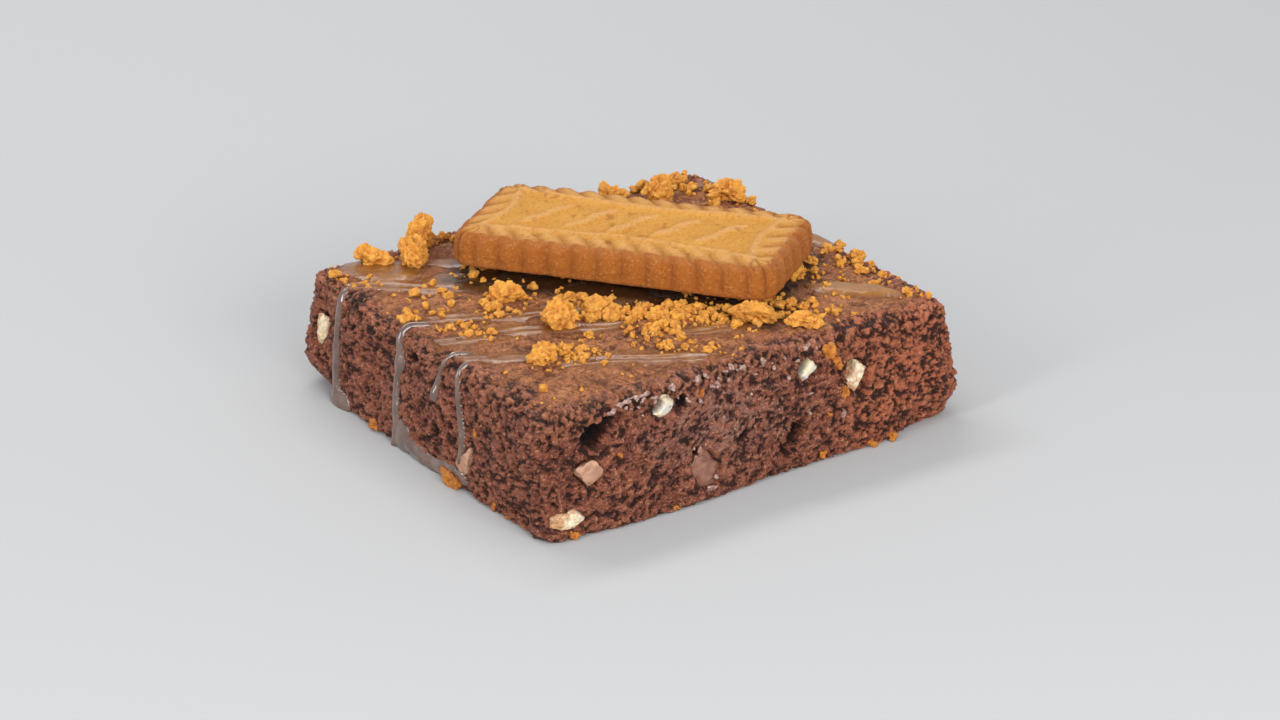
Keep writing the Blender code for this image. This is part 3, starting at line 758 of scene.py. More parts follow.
CHUNK_GRID = (44, 64)
for seed, (name, (kind, face, along, height, wide, tall, deep, turn)) in enumerate(CHUNKS.items(), 200):
    ways = ball(*CHUNK_GRID)
    planes, nearest = {"white": (10, 0.72), "milk": (9, 0.64), "melted": (11, 0.82)}[kind]
    shape = np.minimum(faceted(ways[None], planes, nearest, 1.0, seed)[0], 1.12)
    shape *= 0.97 + 0.10 * mottle(ways, 0.6, seed)
    shape *= 1 + (0.34 if name == "chunk_milk_foot" else 0.12) * layered(ways * 2.0, 1.3, seed, 4, 0.6)
    points = ways * (np.array((wide, deep, tall)) / 2 * shape[:, None] * 0.98)
    sliced = CAKE_CHUNK_SLICE * deep / 2
    rough = layered(points, 1.1, seed + 90, 3)
    near, second = grains(points, 1.3, seed + 5)
    aside, rise = points[:, 0], points[:, 2]
    at_rim = ramp(0.55, 0.95, np.hypot(aside / (wide / 2), rise / (tall / 2)))
    cut = sliced + (0.10 * rough if kind == "milk" else 0.30 * rough + 0.35 * (0.5 - near)) - 0.35 * at_rim
    crackle = (1 - ramp(0.0, 0.18, second - near)) * (kind == "white")
    stain = 0.9 * ramp(0.0, 0.9, 0.5 * rough - 2 * aside / wide) * (kind == "white")
    broken = np.clip(at_rim * (0.4 + rough) + 0.6 * crackle + stain, 0, 1)
    if kind == "melted":
        cut = sliced + 0.15 - 0.5 * at_rim + 0.30 * mottle(points, 1.8, seed)
    # What is left of a chunk: a ring round a hole, a long drop, and a slanting sliver.
    away = {
        "chunk_white_melted": 1.85 - np.hypot((aside + 1.5) / 1.7, (rise - 1.2) / 1.3),
        "chunk_white_upper": abs(0.34 * rise - 0.94 * aside) / (1.0 + 0.16 * rise),
        "chunk_white_right": abs(aside - rise) / 2.1,
    }.get(name, np.zeros(len(points)))
    gone = ramp(0.75, 1.25, away + 0.25 * rough)
    cut -= 2.4 * gone
    broken = np.maximum(broken, gone)
    points[:, 1] = np.maximum(points[:, 1], -cut)
    spot, facing = face_place(face, along, height, sliced)
    points = points @ turn_about("Y", turn) @ turn_about("Z", facing) + spot
    finish = {"white": white, "milk": milk, "melted": melted}[kind]
    finish = milk_smear if name == "chunk_milk_foot" else finish
    chunk = put_mesh(name, points, ball_faces(*CHUNK_GRID), finish, broken=broken)
    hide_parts(name)


# ---- Caramel sauce ----
# A thin olive-brown caramel, drizzled in runs across the crust. It has pooled in the low places and run
# over the left rim, down the cut face and along the foot.

SAUCE_CELL = 0.28


def sheet_of_sauce(name, points, under, kept, depth, material):
    """A closed sheet over the kept cells of a grid: an upper and a lower face joined round every edge."""
    rows, columns = points.shape[:2]
    number = np.arange(rows * columns).reshape(rows, columns)
    corners = np.stack([number[:-1, :-1], number[:-1, 1:], number[1:, 1:], number[1:, :-1]], -1)
    up = corners[kept]
    down = up[:, ::-1] + rows * columns
    around = np.pad(kept, 1)
    walls = []
    beside = (around[:-2, 1:-1], around[1:-1, 2:], around[2:, 1:-1], around[1:-1, :-2])
    for side, neighbour in enumerate(beside):
        cells = corners[kept & ~neighbour]
        first, last = cells[:, side], cells[:, (side + 1) % 4]
        walls.append(np.stack([last, first, first + rows * columns, last + rows * columns], -1))
    faces = np.concatenate([up, down, *walls])
    used, faces = np.unique(faces, return_inverse=True)
    both = np.concatenate([points.reshape(-1, 3), under.reshape(-1, 3)])[used]
    depths = np.concatenate([depth.ravel(), depth.ravel()])[used]
    # Painted shadow of the biscuit on the sauce.
    soak = beside_biscuit(both[:, 0], both[:, 1])
    return put_mesh(name, both, faces.reshape(-1, 4).tolist(), material, depth=depths, soak=soak)


sauce, tree, shader, node = new_material("caramel_sauce", 0.16, 0.25)
thick = node("ShaderNodeAttribute", attribute_name="depth").outputs["Fac"]
thick = ramped(node, thick, -0.15, 0.42)
grit = speckle(node, 0.7, 4, 0.7, 0.30, 0.70)
thin = blend(node, grit, linear(96, 56, 34), linear(142, 92, 58))
colour = blend(node, thick, thin, linear(150, 98, 40))
colour = tint(node, colour, speckle(node, 3.0, 3, 0.6), 0.35, (108, 68, 26))
soaked = node("ShaderNodeAttribute", attribute_name="soak").outputs["Fac"]
# Painted shadow of the biscuit, near black under it and just in front of it.
colour = tint(node, colour, soaked, 0.9, (46, 26, 14))
tree.links.new(colour, shader.inputs["Base Color"])
shader.inputs["Subsurface Weight"].default_value = 0.1
shader.inputs["Subsurface Scale"].default_value = 0.001
shader.inputs["Coat Weight"].default_value = 0.18
shader.inputs["Coat Roughness"].default_value = 0.08
relief(node, shader, blend(node, 0.25, speckle(node, 2.4, 1, 0.4), grit), 0.16)

sauce_columns = round((CAKE_LENGTH - 1.6) / SAUCE_CELL)
sauce_rows = round((CAKE_WIDTH - 1.6) / SAUCE_CELL)
x = np.linspace(-CAKE_LENGTH / 2 + 0.8, CAKE_LENGTH / 2 - 0.8, sauce_columns)
y = np.linspace(-CAKE_WIDTH / 2 + 0.8, CAKE_WIDTH / 2 - 0.8, sauce_rows)
x, y = np.meshgrid(x, y)
spots = np.column_stack([x.ravel(), y.ravel(), np.zeros(x.size)])
depth = sauce_depth(x.ravel(), y.ravel()).reshape(x.shape)
ripple = (0.07 * layered(spots, 3.4, 140, 2) + 0.05 * mottle(spots, 8, 141)).reshape(x.shape)
level = crust_level(x, y) + 0.12 + depth + ripple * ramp(0.0, 0.4, depth)
# Near the rim the sauce thins out and bends down with the crust.
short_x = np.maximum(0, abs(x - cake_shift[0]) - half_x)
short_y = np.maximum(0, abs(y - cake_shift[1]) - half_y)
depth = depth - 0.8 * ramp(-1.0, 1.4, np.maximum(short_x, short_y) + 0.5 * mottle(spots, 3, 142).reshape(x.shape))
level -= RIM_RADIUS - np.sqrt(np.maximum(RIM_RADIUS**2 - short_x**2 - short_y**2, 0))
points = np.stack([x, y, level], -1)
lower = np.stack([x, y, np.minimum(level - 0.15, crust_level(x, y) - 0.5)], -1)
cell_depth = (depth[:-1, :-1] + depth[1:, 1:]) / 2
kept = cell_depth > -0.22
drizzle = sheet_of_sauce("caramel_drizzle", points, lower, kept, depth, sauce)

drip_sauce, tree, shader, node = new_material("caramel_drips", 0.18)
colour = blend(node, speckle(node, 2.5, 2, 0.5), linear(84, 60, 50), linear(108, 82, 70))
tree.links.new(colour, shader.inputs["Base Color"])
shader.inputs["Coat Weight"].default_value = 1.0
shader.inputs["Coat Roughness"].default_value = 0.1
relief(node, shader, speckle(node, 1.6, 1, 0.4), 0.08)

# The drips' sheet climbs the left face from the foot, bends over the rim and ends a little way in on the crust.
DRIP_CLIMB, DRIP_ON_TOP = 24.5, 3.0
along, path = np.meshgrid(np.linspace(-24, 36, 240), np.linspace(0, DRIP_CLIMB + DRIP_ON_TOP, 110))
over_rim = RIM_RADIUS * math.pi / 2
bend = np.clip((DRIP_CLIMB - path) / RIM_RADIUS, 0, math.pi / 2)
on_top = np.maximum(0, path - DRIP_CLIMB)
height = np.where(bend < math.pi / 2, wall_top + RIM_RADIUS * np.cos(bend), 0)
down_face = (DRIP_CLIMB - path - over_rim) / (DRIP_CLIMB - over_rim)
height = np.where(bend < math.pi / 2, height, wall_top * (1 - down_face))
depth = drip_depth(along + 0.5 * on_top, height) - 0.02 * on_top**2
left_place = np.stack([np.full(along.size, -CAKE_LENGTH / 2), along.ravel() - cake_shift[1]], -1)
left_out = np.repeat([[-1.0, 0.0]], along.size, 0)
stand = cut_offset(left_place, left_out, np.zeros(along.size), np.minimum(height, wall_top).ravel())
stand = stand.reshape(along.shape)
ripple = layered(np.column_stack([along.ravel(), height.ravel(), 0 * height.ravel()]), 2.5, 150, 2)
proud = 0.12 + depth + 0.05 * ripple.reshape(depth.shape)
wall_x = -CAKE_LENGTH / 2 - stand + RIM_RADIUS * (1 - np.sin(bend)) + cake_shift[0] + on_top
points = np.stack([wall_x - proud * np.sin(bend), along, np.maximum(height + proud * np.cos(bend), 0)], -1)
lower = np.stack([wall_x + 0.9 * np.sin(bend), along, np.maximum(height - 0.9 * np.cos(bend), 0)], -1)
kept = (depth[:-1, :-1] + depth[1:, 1:]) / 2 > -0.22
drips = sheet_of_sauce("caramel_drips", points[:, ::-1], lower[:, ::-1], kept[:, ::-1], depth[:, ::-1], drip_sauce)


# ---- Biscuit ----
# A thin caramelised biscuit, pressed in a mould: a scalloped edge with slanted ribs, a raised line round a
# sunk panel, and plain slanted grain marks in it. It lies across the back of the brownie on its crumbs.

BISCUIT_LENGTH, BISCUIT_WIDTH, BISCUIT_THICKNESS = 63.5, 31.5, 6.8
BISCUIT_CORNER = 5.0
BISCUIT_CENTRE = (6.2, 7.4, 24.9)
BISCUIT_TILT = (-1.6, -0.4, -52.8)
LOBES_LONG, LOBES_SHORT = 11, 4
BISCUIT_BEVEL, BISCUIT_SIDE = 2.2, 4.6
BISCUIT_CELL = 0.3
long_half, short_half = BISCUIT_LENGTH / 2, BISCUIT_WIDTH / 2


def lobe_phase(px, py, slant):
    """Count of lobes along the edge nearest to a place, whole at each notch; slant carries it sideways inwards."""
    run_x, run_y = long_half - BISCUIT_CORNER, short_half - BISCUIT_CORNER
    from_long, from_short = short_half - abs(py), long_half - abs(px)
    along_x = (px * np.sign(-py) + run_x + slant * from_long) / (2 * run_x / LOBES_LONG)
    along_y = (py * np.sign(px) + run_y + slant * from_short) / (2 * run_y / LOBES_SHORT)
    round_corner = np.arctan2(abs(py) - run_y, abs(px) - run_x) / (math.pi / 4)
    in_corner = (abs(px) > run_x) & (abs(py) > run_y)
    return np.where(in_corner, round_corner, np.where(from_long < from_short, along_x, along_y))


def inset_of(px, py):
    """Distance in from the biscuit's outline, without its lobes."""
    over_x = np.maximum(abs(px) - (long_half - BISCUIT_CORNER), 0)
    over_y = np.maximum(abs(py) - (short_half - BISCUIT_CORNER), 0)
    straight = np.minimum(long_half - abs(px), short_half - abs(py))
    return np.where((over_x > 0) & (over_y > 0), BISCUIT_CORNER - np.hypot(over_x, over_y), straight)


def biscuit_relief(px, py):
    """Height of the pressed top: ribs that fade inwards, a raised line, a sunk panel and its grain marks. Also the
    share of the rib furrows, painted as shade, and how pale the raised parts are painted as highlight.
    """
    inset = inset_of(px, py)
    spots = np.column_stack([px, py, np.zeros(len(px))])
    ribs = 1 - abs(np.sin(math.pi * lobe_phase(px, py, 0.75))) ** 0.7
    fade = ramp(0.4, 1.6, inset) * (1 - ramp(4.2, 6.4, inset))
    line = 6.8 + 0.8 * np.cos(px / 7.4) + 0.9 * np.cos(py / 4.0) * (abs(px) > 22) + 0.3 * mottle(spots, 5, 160)
    raised = 0.34 * np.exp(-(((inset - line) / 0.7) ** 2))
    sunk = -0.42 * ramp(0.2, 1.8, inset - line)
    marks = np.zeros(len(px))
    for row, shift in ((2.6, 1.5), (-2.9, -1.2)):
        for number in range(5):
            a = px - (number - 2) * 8.6 - shift
            b = py - row
            a, b = a * 0.64 + b * 0.77, b * 0.64 - a * 0.77
            marks = np.maximum(marks, 1 - np.hypot(a / 4.3, b / np.maximum(1.2 - 0.1 * a, 0.3)) ** 3)
    marks = 0.6 * ramp(0.0, 0.9, marks)
    crown = 0.35 * ramp(0.5, 5.0, inset)
    # Painted highlight: the raised line, the marks and the rib crests are painted paler.
    pale = np.clip(raised / 0.34 + marks / 0.6 + 0.7 * (1 - ribs) ** 2 * fade, 0, 1)
    return -0.7 * ribs * fade + raised + sunk + marks + crown, ribs * fade, pale


steps_x = round((BISCUIT_LENGTH - 2 * BISCUIT_BEVEL) / BISCUIT_CELL)
steps_y = round((BISCUIT_WIDTH - 2 * BISCUIT_BEVEL) / BISCUIT_CELL)
across, upward = np.meshgrid(np.linspace(-1, 1, steps_x), np.linspace(-1, 1, steps_y))
across, upward = across.ravel(), upward.ravel()
border = grid_border(steps_y, steps_x)


def biscuit_plan(share_x, share_y, inset):
    """Plan places at an inset from the outline for shares of the way to each side."""
    radii = [BISCUIT_CORNER - inset] * 4
    inner_x, inner_y = long_half - inset, short_half - inset
    return rounded_plan(share_x * inner_x, share_y * inner_y, inner_x, inner_y, radii)


top_x, top_y = biscuit_plan(across, upward, BISCUIT_BEVEL)
raise_by, rib_share, raised_share = biscuit_relief(top_x, top_y)
spots = np.column_stack([top_x, top_y, np.zeros(len(top_x))])
holes = 0.7 * ramp(0.5, 0.75, mottle(spots, 1.2, 171)) * ramp(0.0, 0.4, mottle(spots, 5, 172))
grit = 0.12 * layered(spots, 1.1, 173, 3, 0.8) + 0.18 * mottle(spots, 9, 174)
top_rows = np.column_stack([top_x, top_y, BISCUIT_THICKNESS - 0.35 + raise_by + grit - 0.35 * holes])
edge_x, edge_y = biscuit_plan(across[border], upward[border], 0.0)
edge_way = np.roll(np.stack([edge_x, edge_y], -1), -2, 0) - np.roll(np.stack([edge_x, edge_y], -1), 2, 0)
edge_way = np.stack([edge_way[:, 1], -edge_way[:, 0]], -1)
edge_way /= np.linalg.norm(edge_way, axis=1, keepdims=True)
notch = 1 - abs(np.sin(math.pi * lobe_phase(edge_x, edge_y, 0.0))) ** 0.55
rim_top = top_rows[border, 2]
side_rows, side_notch = [], []
edge_height = rim_top - BISCUIT_BEVEL * 0.85
levels = [(0.7, 0.0), (0.25, 0.15), (0.0, 0.6)] + [(0.0, height) for height in np.linspace(1.0, BISCUIT_SIDE, 13)]
for inset, height in levels:
    spread = 0.22 * math.sin(math.pi * min(1, height / BISCUIT_SIDE))
    shift = spread - inset - (0.2 + 0.65 * ramp(0.2, 1.5, height)) * notch
    spot = np.stack([edge_x, edge_y], -1) + edge_way * shift[:, None]
    lifted = np.full(len(spot), height) * np.where(height > 1, edge_height / BISCUIT_SIDE, 1)
    side_rows.append(np.column_stack([spot, lifted]))
    side_notch.append(notch)
for bend in np.radians((15, 32, 50, 68)):
    inset = BISCUIT_BEVEL * (1 - math.cos(bend))
    spot_x, spot_y = biscuit_plan(across[border], upward[border], inset)
    spot = np.stack([spot_x, spot_y], -1) - edge_way * (0.85 * math.cos(bend) ** 0.5 * notch)[:, None]
    side_rows.append(np.column_stack([spot, edge_height + (rim_top - edge_height) * math.sin(bend)]))
    side_notch.append(notch * math.cos(bend) ** 0.5)
side = np.concatenate(side_rows)
side += np.column_stack([np.tile(edge_way, (len(side_rows), 1)), np.zeros(len(side))]) * (
    0.13 * layered(side, 1.0, 176, 3, 0.8) + 0.14 * mottle(side, 5, 177)
)[:, None]
side[: len(border), 2] = 0
rim_count = len(border)
foot = [side_rows[0] * (share, share, 1) for share in (0.6, 0.9)]
biscuit_points = np.concatenate([top_rows, side[::-1].reshape(-1, 3), *foot[::-1], [[0, 0, 0]]])
side_order = np.arange(len(side)).reshape(-1, rim_count)
ring_numbers = [border] + [len(top_rows) + len(side) - 1 - row for row in side_order[::-1]]
ring_numbers += [len(top_rows) + len(side) + np.arange(rim_count) + rim_count * n for n in range(2)]
ring_numbers = np.array(ring_numbers)
after = np.roll(ring_numbers, -1, 1)
strips = np.stack([after[:-1], ring_numbers[:-1], ring_numbers[1:], after[1:]], -1).reshape(-1, 4)
biscuit_faces = grid_quads(steps_y, steps_x).tolist() + strips.tolist()
centre = len(biscuit_points) - 1
biscuit_faces += [[b, a, centre] for a, b in zip(ring_numbers[-1].tolist(), after[-1].tolist())]
spare = (0, 2 * rim_count + 1)
side_tones = np.concatenate(side_notch)[::-1]
# Painted shade: the furrows between the ribs, the pits on top and the notches round the side are painted darker.
furrow = np.pad(np.concatenate([np.clip(rib_share + holes, 0, 1), side_tones]), spare)
ridge = np.pad(np.concatenate([raised_share, 0 * side_tones]), spare)
top_baked = 0.9 - 0.9 * ramp(0.5, 4.0, inset_of(top_x, top_y))
baked = np.pad(np.concatenate([top_baked, 0 * side_tones + 1]), spare, constant_values=1)
turns = turn_about("X", BISCUIT_TILT[0]) @ turn_about("Y", BISCUIT_TILT[1]) @ turn_about("Z", BISCUIT_TILT[2])
biscuit_points = biscuit_points @ turns + BISCUIT_CENTRE

baked_biscuit, tree, shader, node = new_material("baked_biscuit", 0.62, 0.4)
in_furrow = node("ShaderNodeAttribute", attribute_name="furrow").outputs["Fac"]
on_ridge = node("ShaderNodeAttribute", attribute_name="ridge").outputs["Fac"]
browned = node("ShaderNodeAttribute", attribute_name="baked").outputs["Fac"]
grit = speckle(node, 0.6, 5, 0.72, 0.30, 0.70)
colour = blend(node, speckle(node, 5.0, 3, 0.6), linear(224, 152, 48), linear(232, 166, 62))
colour = tint(node, colour, browned, 0.78, (172, 81, 8))
# Painted highlight on the raised line, marks and rib crests.
colour = tint(node, colour, on_ridge, 0.65, (240, 180, 110))
# Painted shade and highlight: the biscuit is painted darker in the low grit of its bump and lighter on the high
# grit.
colour = tint(node, colour, ramped(node, grit, 0.42, 0.02), 0.55, (158, 88, 30))
colour = tint(node, colour, ramped(node, grit, 0.60, 0.98), 0.5, (238, 184, 112))
# Painted shade in furrows, pits and notches.
colour = tint(node, colour, in_furrow, 0.6, (150, 80, 28))
tree.links.new(colour, shader.inputs["Base Color"])
relief(node, shader, grit, 0.4)
biscuit = put_mesh("biscuit_pressed", biscuit_points, biscuit_faces, baked_biscuit, furrow=furrow, ridge=ridge,
                   baked=baked)
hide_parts("biscuit")


# ---- Biscuit crumbs ----
# The same kind of biscuit crushed over the top: big lumps, small clumps of grains, loose crumbs and dust.
# They lie where they fell, most of them in front of the biscuit and along the back edges.

# Lumps: place X and Y, length, width, height and turn in degrees.
LUMPS = (
    (-34.0, 37.2, 8.2, 4.2, 4.2, -35),
    (-28.5, 31.5, 6.4, 5.6, 6.6, 10),
    (-22.8, 37.6, 7.0, 6.0, 8.6, -30),
    (-21.4, -8.0, 8.0, 6.4, 6.0, -25),
    (9.4, -26.6, 8.6, 6.0, 5.4, -40),
    (-31.8, -19.6, 5.6, 4.8, 4.4, 30),
    (30.5, 33.5, 7.2, 5.8, 6.6, 15),
    (21.8, 38.0, 7.4, 5.0, 4.2, -20),
    (41.0, 24.5, 8.4, 5.2, 5.0, -50),
    (-23.0, 7.2, 6.0, 4.4, 4.0, -30),
    (16.2, -33.6, 6.6, 3.8, 3.4, -45),
)
# Lumps the biscuit rests on: place along it and across it.
RESTS = ((-27.5, -9.5), (27.0, -8.0), (3.0, 10.0))
LUMP_GRID, REST_GRID = (64, 92), (40, 56)

crumb, tree, shader, node = new_material("biscuit_crumb", 0.8, 0.3)
in_crease = node("ShaderNodeAttribute", attribute_name="crease").outputs["Fac"]
colour = blend(node, speckle(node, 1.2, 3, 0.6), linear(230, 156, 52), linear(240, 172, 76))
# Painted shade in the creases and pits of the crumbs.
colour = tint(node, colour, in_crease, 0.75, (176, 92, 22))
# Painted highlight: small pale specks on the crumbs.
colour = tint(node, colour, speckle(node, 0.35, 2, 0.6, 0.54, 0.7), 0.6, (246, 196, 128))
tree.links.new(colour, shader.inputs["Base Color"])
shader.inputs["Subsurface Weight"].default_value = 0.1
shader.inputs["Subsurface Scale"].default_value = 0.001
relief(node, shader, speckle(node, 0.32, 3, 0.75, 0.25, 0.75), 0.20)


def crumbly(rows, columns, spots, sizes, grain, seed, bits=9):
    """Angular lumps with a gritty surface, one for each place and size, and how dark each point is painted as
    shade in its creases and pits.
    """
    chance = np.random.default_rng(seed)
    count = len(spots)
    axes = np.linalg.qr(chance.normal(size=(count, 3, 3)))[0]
    axes *= np.sign(np.linalg.det(axes))[:, None, None]
    ways = np.repeat(ball(rows, columns)[None], count, 0)
    shape = np.minimum(faceted(ways, bits, 0.62, 1.0, seed), 1.15)[..., None]
    turned_ways = ways @ axes
    offset = chance.uniform(-200, 200, (count, 1, 3))
    points = turned_ways * shape * np.asarray(sizes)[:, None] / 2
    apart = (points + offset).reshape(-1, 3)
    fine = np.repeat(np.broadcast_to(grain, count), ways.shape[1])[:, None]
    rough = layered(apart, 1.9 * fine, seed, 4, 0.75) * 0.55 + 0.40 * mottle(apart, 0.75 * fine, seed + 40)
    pits = ramp(0.2, 0.7, layered(apart, 1.2 * fine, seed + 50, 2))
    stand = (1.15 * rough - 0.5 * pits) * fine[:, 0]
    points = points + turned_ways * stand.reshape(count, -1, 1)
    # Painted shade share: darker in the low places and pits.
    crease = np.clip(0.35 - 0.75 * rough + 0.5 * pits, 0, 1)
    return points + np.asarray(spots)[:, None], crease


for number, (x, y, long, wide, tall, turn) in enumerate(LUMPS, 1):
    sizes = np.array([[long, wide, tall]])
    points, crease = crumbly(*LUMP_GRID, np.zeros((1, 3)), sizes * 1.02, 0.9, 300 + number, 13)
    points = points[0]
    points[:, 2] = np.maximum(points[:, 2], -0.62 * tall / 2)
    points = points @ turn_about("Z", turn) + (x, y, 0)
    points[:, 2] += 0.1 - (points[:, 2] - crust_level(points[:, 0], points[:, 1])).min()
    lump = put_mesh(f"crumb_lump_{number:02d}_fine", points, ball_faces(*LUMP_GRID), crumb, crease=crease)
    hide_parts(f"crumb_lump_{number:02d}")
for number, (along, aside) in enumerate(RESTS, 1):
    spot = np.array((along, aside, 0.0)) @ turns + BISCUIT_CENTRE
    floor = crust_level(spot[0], spot[1])
    middle = np.array([[spot[0], spot[1], (spot[2] + floor) / 2 + 0.1]])
    points, crease = crumbly(*REST_GRID, middle, [[5.4, 4.4, spot[2] - floor]], 0.9, 330 + number)
    lump = put_mesh(f"crumb_rest_{number}_fine", points[0], ball_faces(*REST_GRID), crumb, crease=crease)
    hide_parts(f"crumb_rest_{number}")

# Clumps that show one by one: place X and Y, and width.
CLUMPS = (
    (-16.5, 39.5, 3.4), (-21.5, 20.5, 3.5), (-21.0, 8.0, 4.7), (-27.0, 5.5, 4.2), (-24.5, 1.5, 2.1),
    (-13.5, 0.0, 3.7), (-13.0, -7.5, 6.2), (-12.0, -12.5, 4.1), (-36.5, -1.5, 2.7), (-33.0, -4.0, 2.8),
    (-37.5, 3.5, 2.3), (-42.5, 10.5, 4.1), (-37.0, 10.5, 2.1), (-40.5, 29.0, 1.9), (-43.0, 32.5, 1.9),
    (-35.0, 20.0, 2.8), (-31.0, 15.5, 1.6), (-26.5, -17.5, 2.9), (-24.0, -19.5, 2.7), (-25.5, -23.0, 2.2),
    (-28.5, -21.5, 1.8), (-19.5, -15.5, 2.3), (-7.5, -13.5, 4.4), (-8.5, -20.0, 3.4), (-8.5, -14.0, 3.2),
    (-4.0, -15.5, 4.4), (0.5, -18.0, 3.7), (-6.0, -20.0, 3.4), (2.0, -21.5, 2.3), (3.5, -24.5, 1.8),
    (-9.5, -21.0, 2.0), (-11.0, -27.0, 3.4), (-8.0, -29.5, 2.0), (-3.5, -31.0, 1.8), (-6.0, -23.5, 2.5),
    (5.0, -27.5, 3.4), (17.0, -24.0, 3.7), (19.5, -24.5, 2.8), (15.0, -28.0, 2.8), (24.5, -32.0, 2.1),
    (40.5, -32.5, 3.0), (28.5, -14.0, 4.2), (33.0, -14.0, 2.6), (41.5, -7.0, 3.1), (39.5, -13.5, 3.8),
    (44.5, -6.5, 2.9), (40.0, -19.0, 3.3), (44.0, -13.0, 3.8), (42.0, -23.5, 2.8), (38.0, -25.5, 2.8),
    (35.0, -19.5, 1.4), (30.0, -21.5, 2.6), (31.0, -24.5, 1.9), (44.0, -17.5, 2.1), (-10.5, -9.5, 4.6),
    (-6.5, -17.0, 3.8), (-2.5, -19.0, 3.4), (1.0, -15.5, 3.2), (-15.0, -10.0, 3.6), (-17.0, -5.5, 3.0),
    (3.0, -20.5, 3.0), (12.5, -27.5, 3.2), (20.5, -27.0, 3.0), (31.0, -11.0, 3.2), (35.0, -10.0, 3.4),
    (42.0, -16.0, 3.2), (13.5, -22.5, 3.8), (16.0, -21.0, 3.4), (14.0, -25.0, 3.0), (18.5, -22.0, 2.8),
    (-4.5, -12.5, 3.4), (-1.5, -14.0, 3.0), (3.5, -17.5, 3.2), (6.5, -19.5, 3.0), (-16.0, -8.5, 3.0),
    (-10.0, -6.5, 3.4), (-12.5, -10.5, 3.6), (8.5, -22.5, 2.6), (30.5, 41.0, 4.3), (38.5, 38.5, 5.3),
    (38.0, 33.0, 4.2), (41.0, 30.0, 3.7), (43.5, 20.5, 3.0), (36.0, 22.5, 3.5),
)


def join_lumps(name, rows, columns, spots, sizes, grain, seed, bits, material):
    """Many angular lumps as one piece: the same grid for each, one after the other."""
    points, crease = crumbly(rows, columns, spots, sizes, grain, seed, bits)
    faces = np.array([face if len(face) == 4 else [*face, -1] for face in ball_faces(rows, columns)])
    first = np.arange(len(points))[:, None, None] * points.shape[1]
    every = np.where(faces[None] < 0, -1, faces[None] + first).reshape(-1, 4)
    faces = [face[:3] if face[3] < 0 else face for face in every.tolist()]
    piece = put_mesh(name, points.reshape(-1, 3), faces, material, crease=crease)
    return piece


chance = np.random.default_rng(7)
spots, sizes = [], []
for x, y, wide in CLUMPS:
    count = max(2, round(wide / 1.2))
    away = chance.normal(size=(count, 3)) * (wide * 0.22, wide * 0.22, 0)
    away[0] = 0
    spot = np.array((x, y, 0.0)) + away
    spot[:, 1] = np.minimum(spot[:, 1], 39.5)
    small = wide * chance.uniform(0.34, 0.52, count)
    small[0] = wide * 0.62
    spot[:, 2] = crust_level(spot[:, 0], spot[:, 1]) + small * 0.30 + 0.1
    spots.append(spot)
    sizes.append(small[:, None] * chance.uniform((0.9, 0.8, 0.6), (1.3, 1.1, 0.95), (count, 3)))
sizes = np.concatenate(sizes)
grain = np.minimum(0.8, 0.32 * sizes.min(1))
join_lumps("crumb_clumps", 17, 24, np.concatenate(spots), sizes, grain, 8, 10, crumb)

# Loose crumbs and dust thin out away from the clumps, with some strewn all over.
NEAR_CLUMPS, STREWN = 1900, 420
centres = np.array(CLUMPS)
home = centres[chance.integers(0, len(centres), NEAR_CLUMPS)]
picked = home[:, :2] + chance.normal(size=(NEAR_CLUMPS, 2)) * (0.9 + 0.42 * home[:, 2:])
strewn = np.column_stack([chance.uniform(-43, 44, STREWN), chance.uniform(-37, 40, STREWN)])
plan = np.concatenate([picked, strewn])
plan = plan[(abs(plan[:, 0]) < 44) & (abs(plan[:, 1]) < 40)]
lonely = chance.uniform(size=len(plan)) < 0.5 + 0.5 * mottle(np.column_stack([plan, np.zeros(len(plan))]), 12, 9)
plan = plan[lonely]
size = np.clip(chance.lognormal(-0.55, 0.5, len(plan)), 0.28, 1.9)
spots = np.column_stack([plan, crust_level(*plan.T) + 0.1 + 0.3 * size])
sizes = size[:, None] * chance.uniform(0.7, 1.3, (len(plan), 3))
join_lumps("crumb_grains", 8, 11, spots, sizes, 0.3 * size, 11, 8, crumb)


# ---- Stuck crumbs ----
# Biscuit crumbs that fell past the rim and stuck in the cut faces and along the foot, where the sauce has
# soaked them a deeper orange.

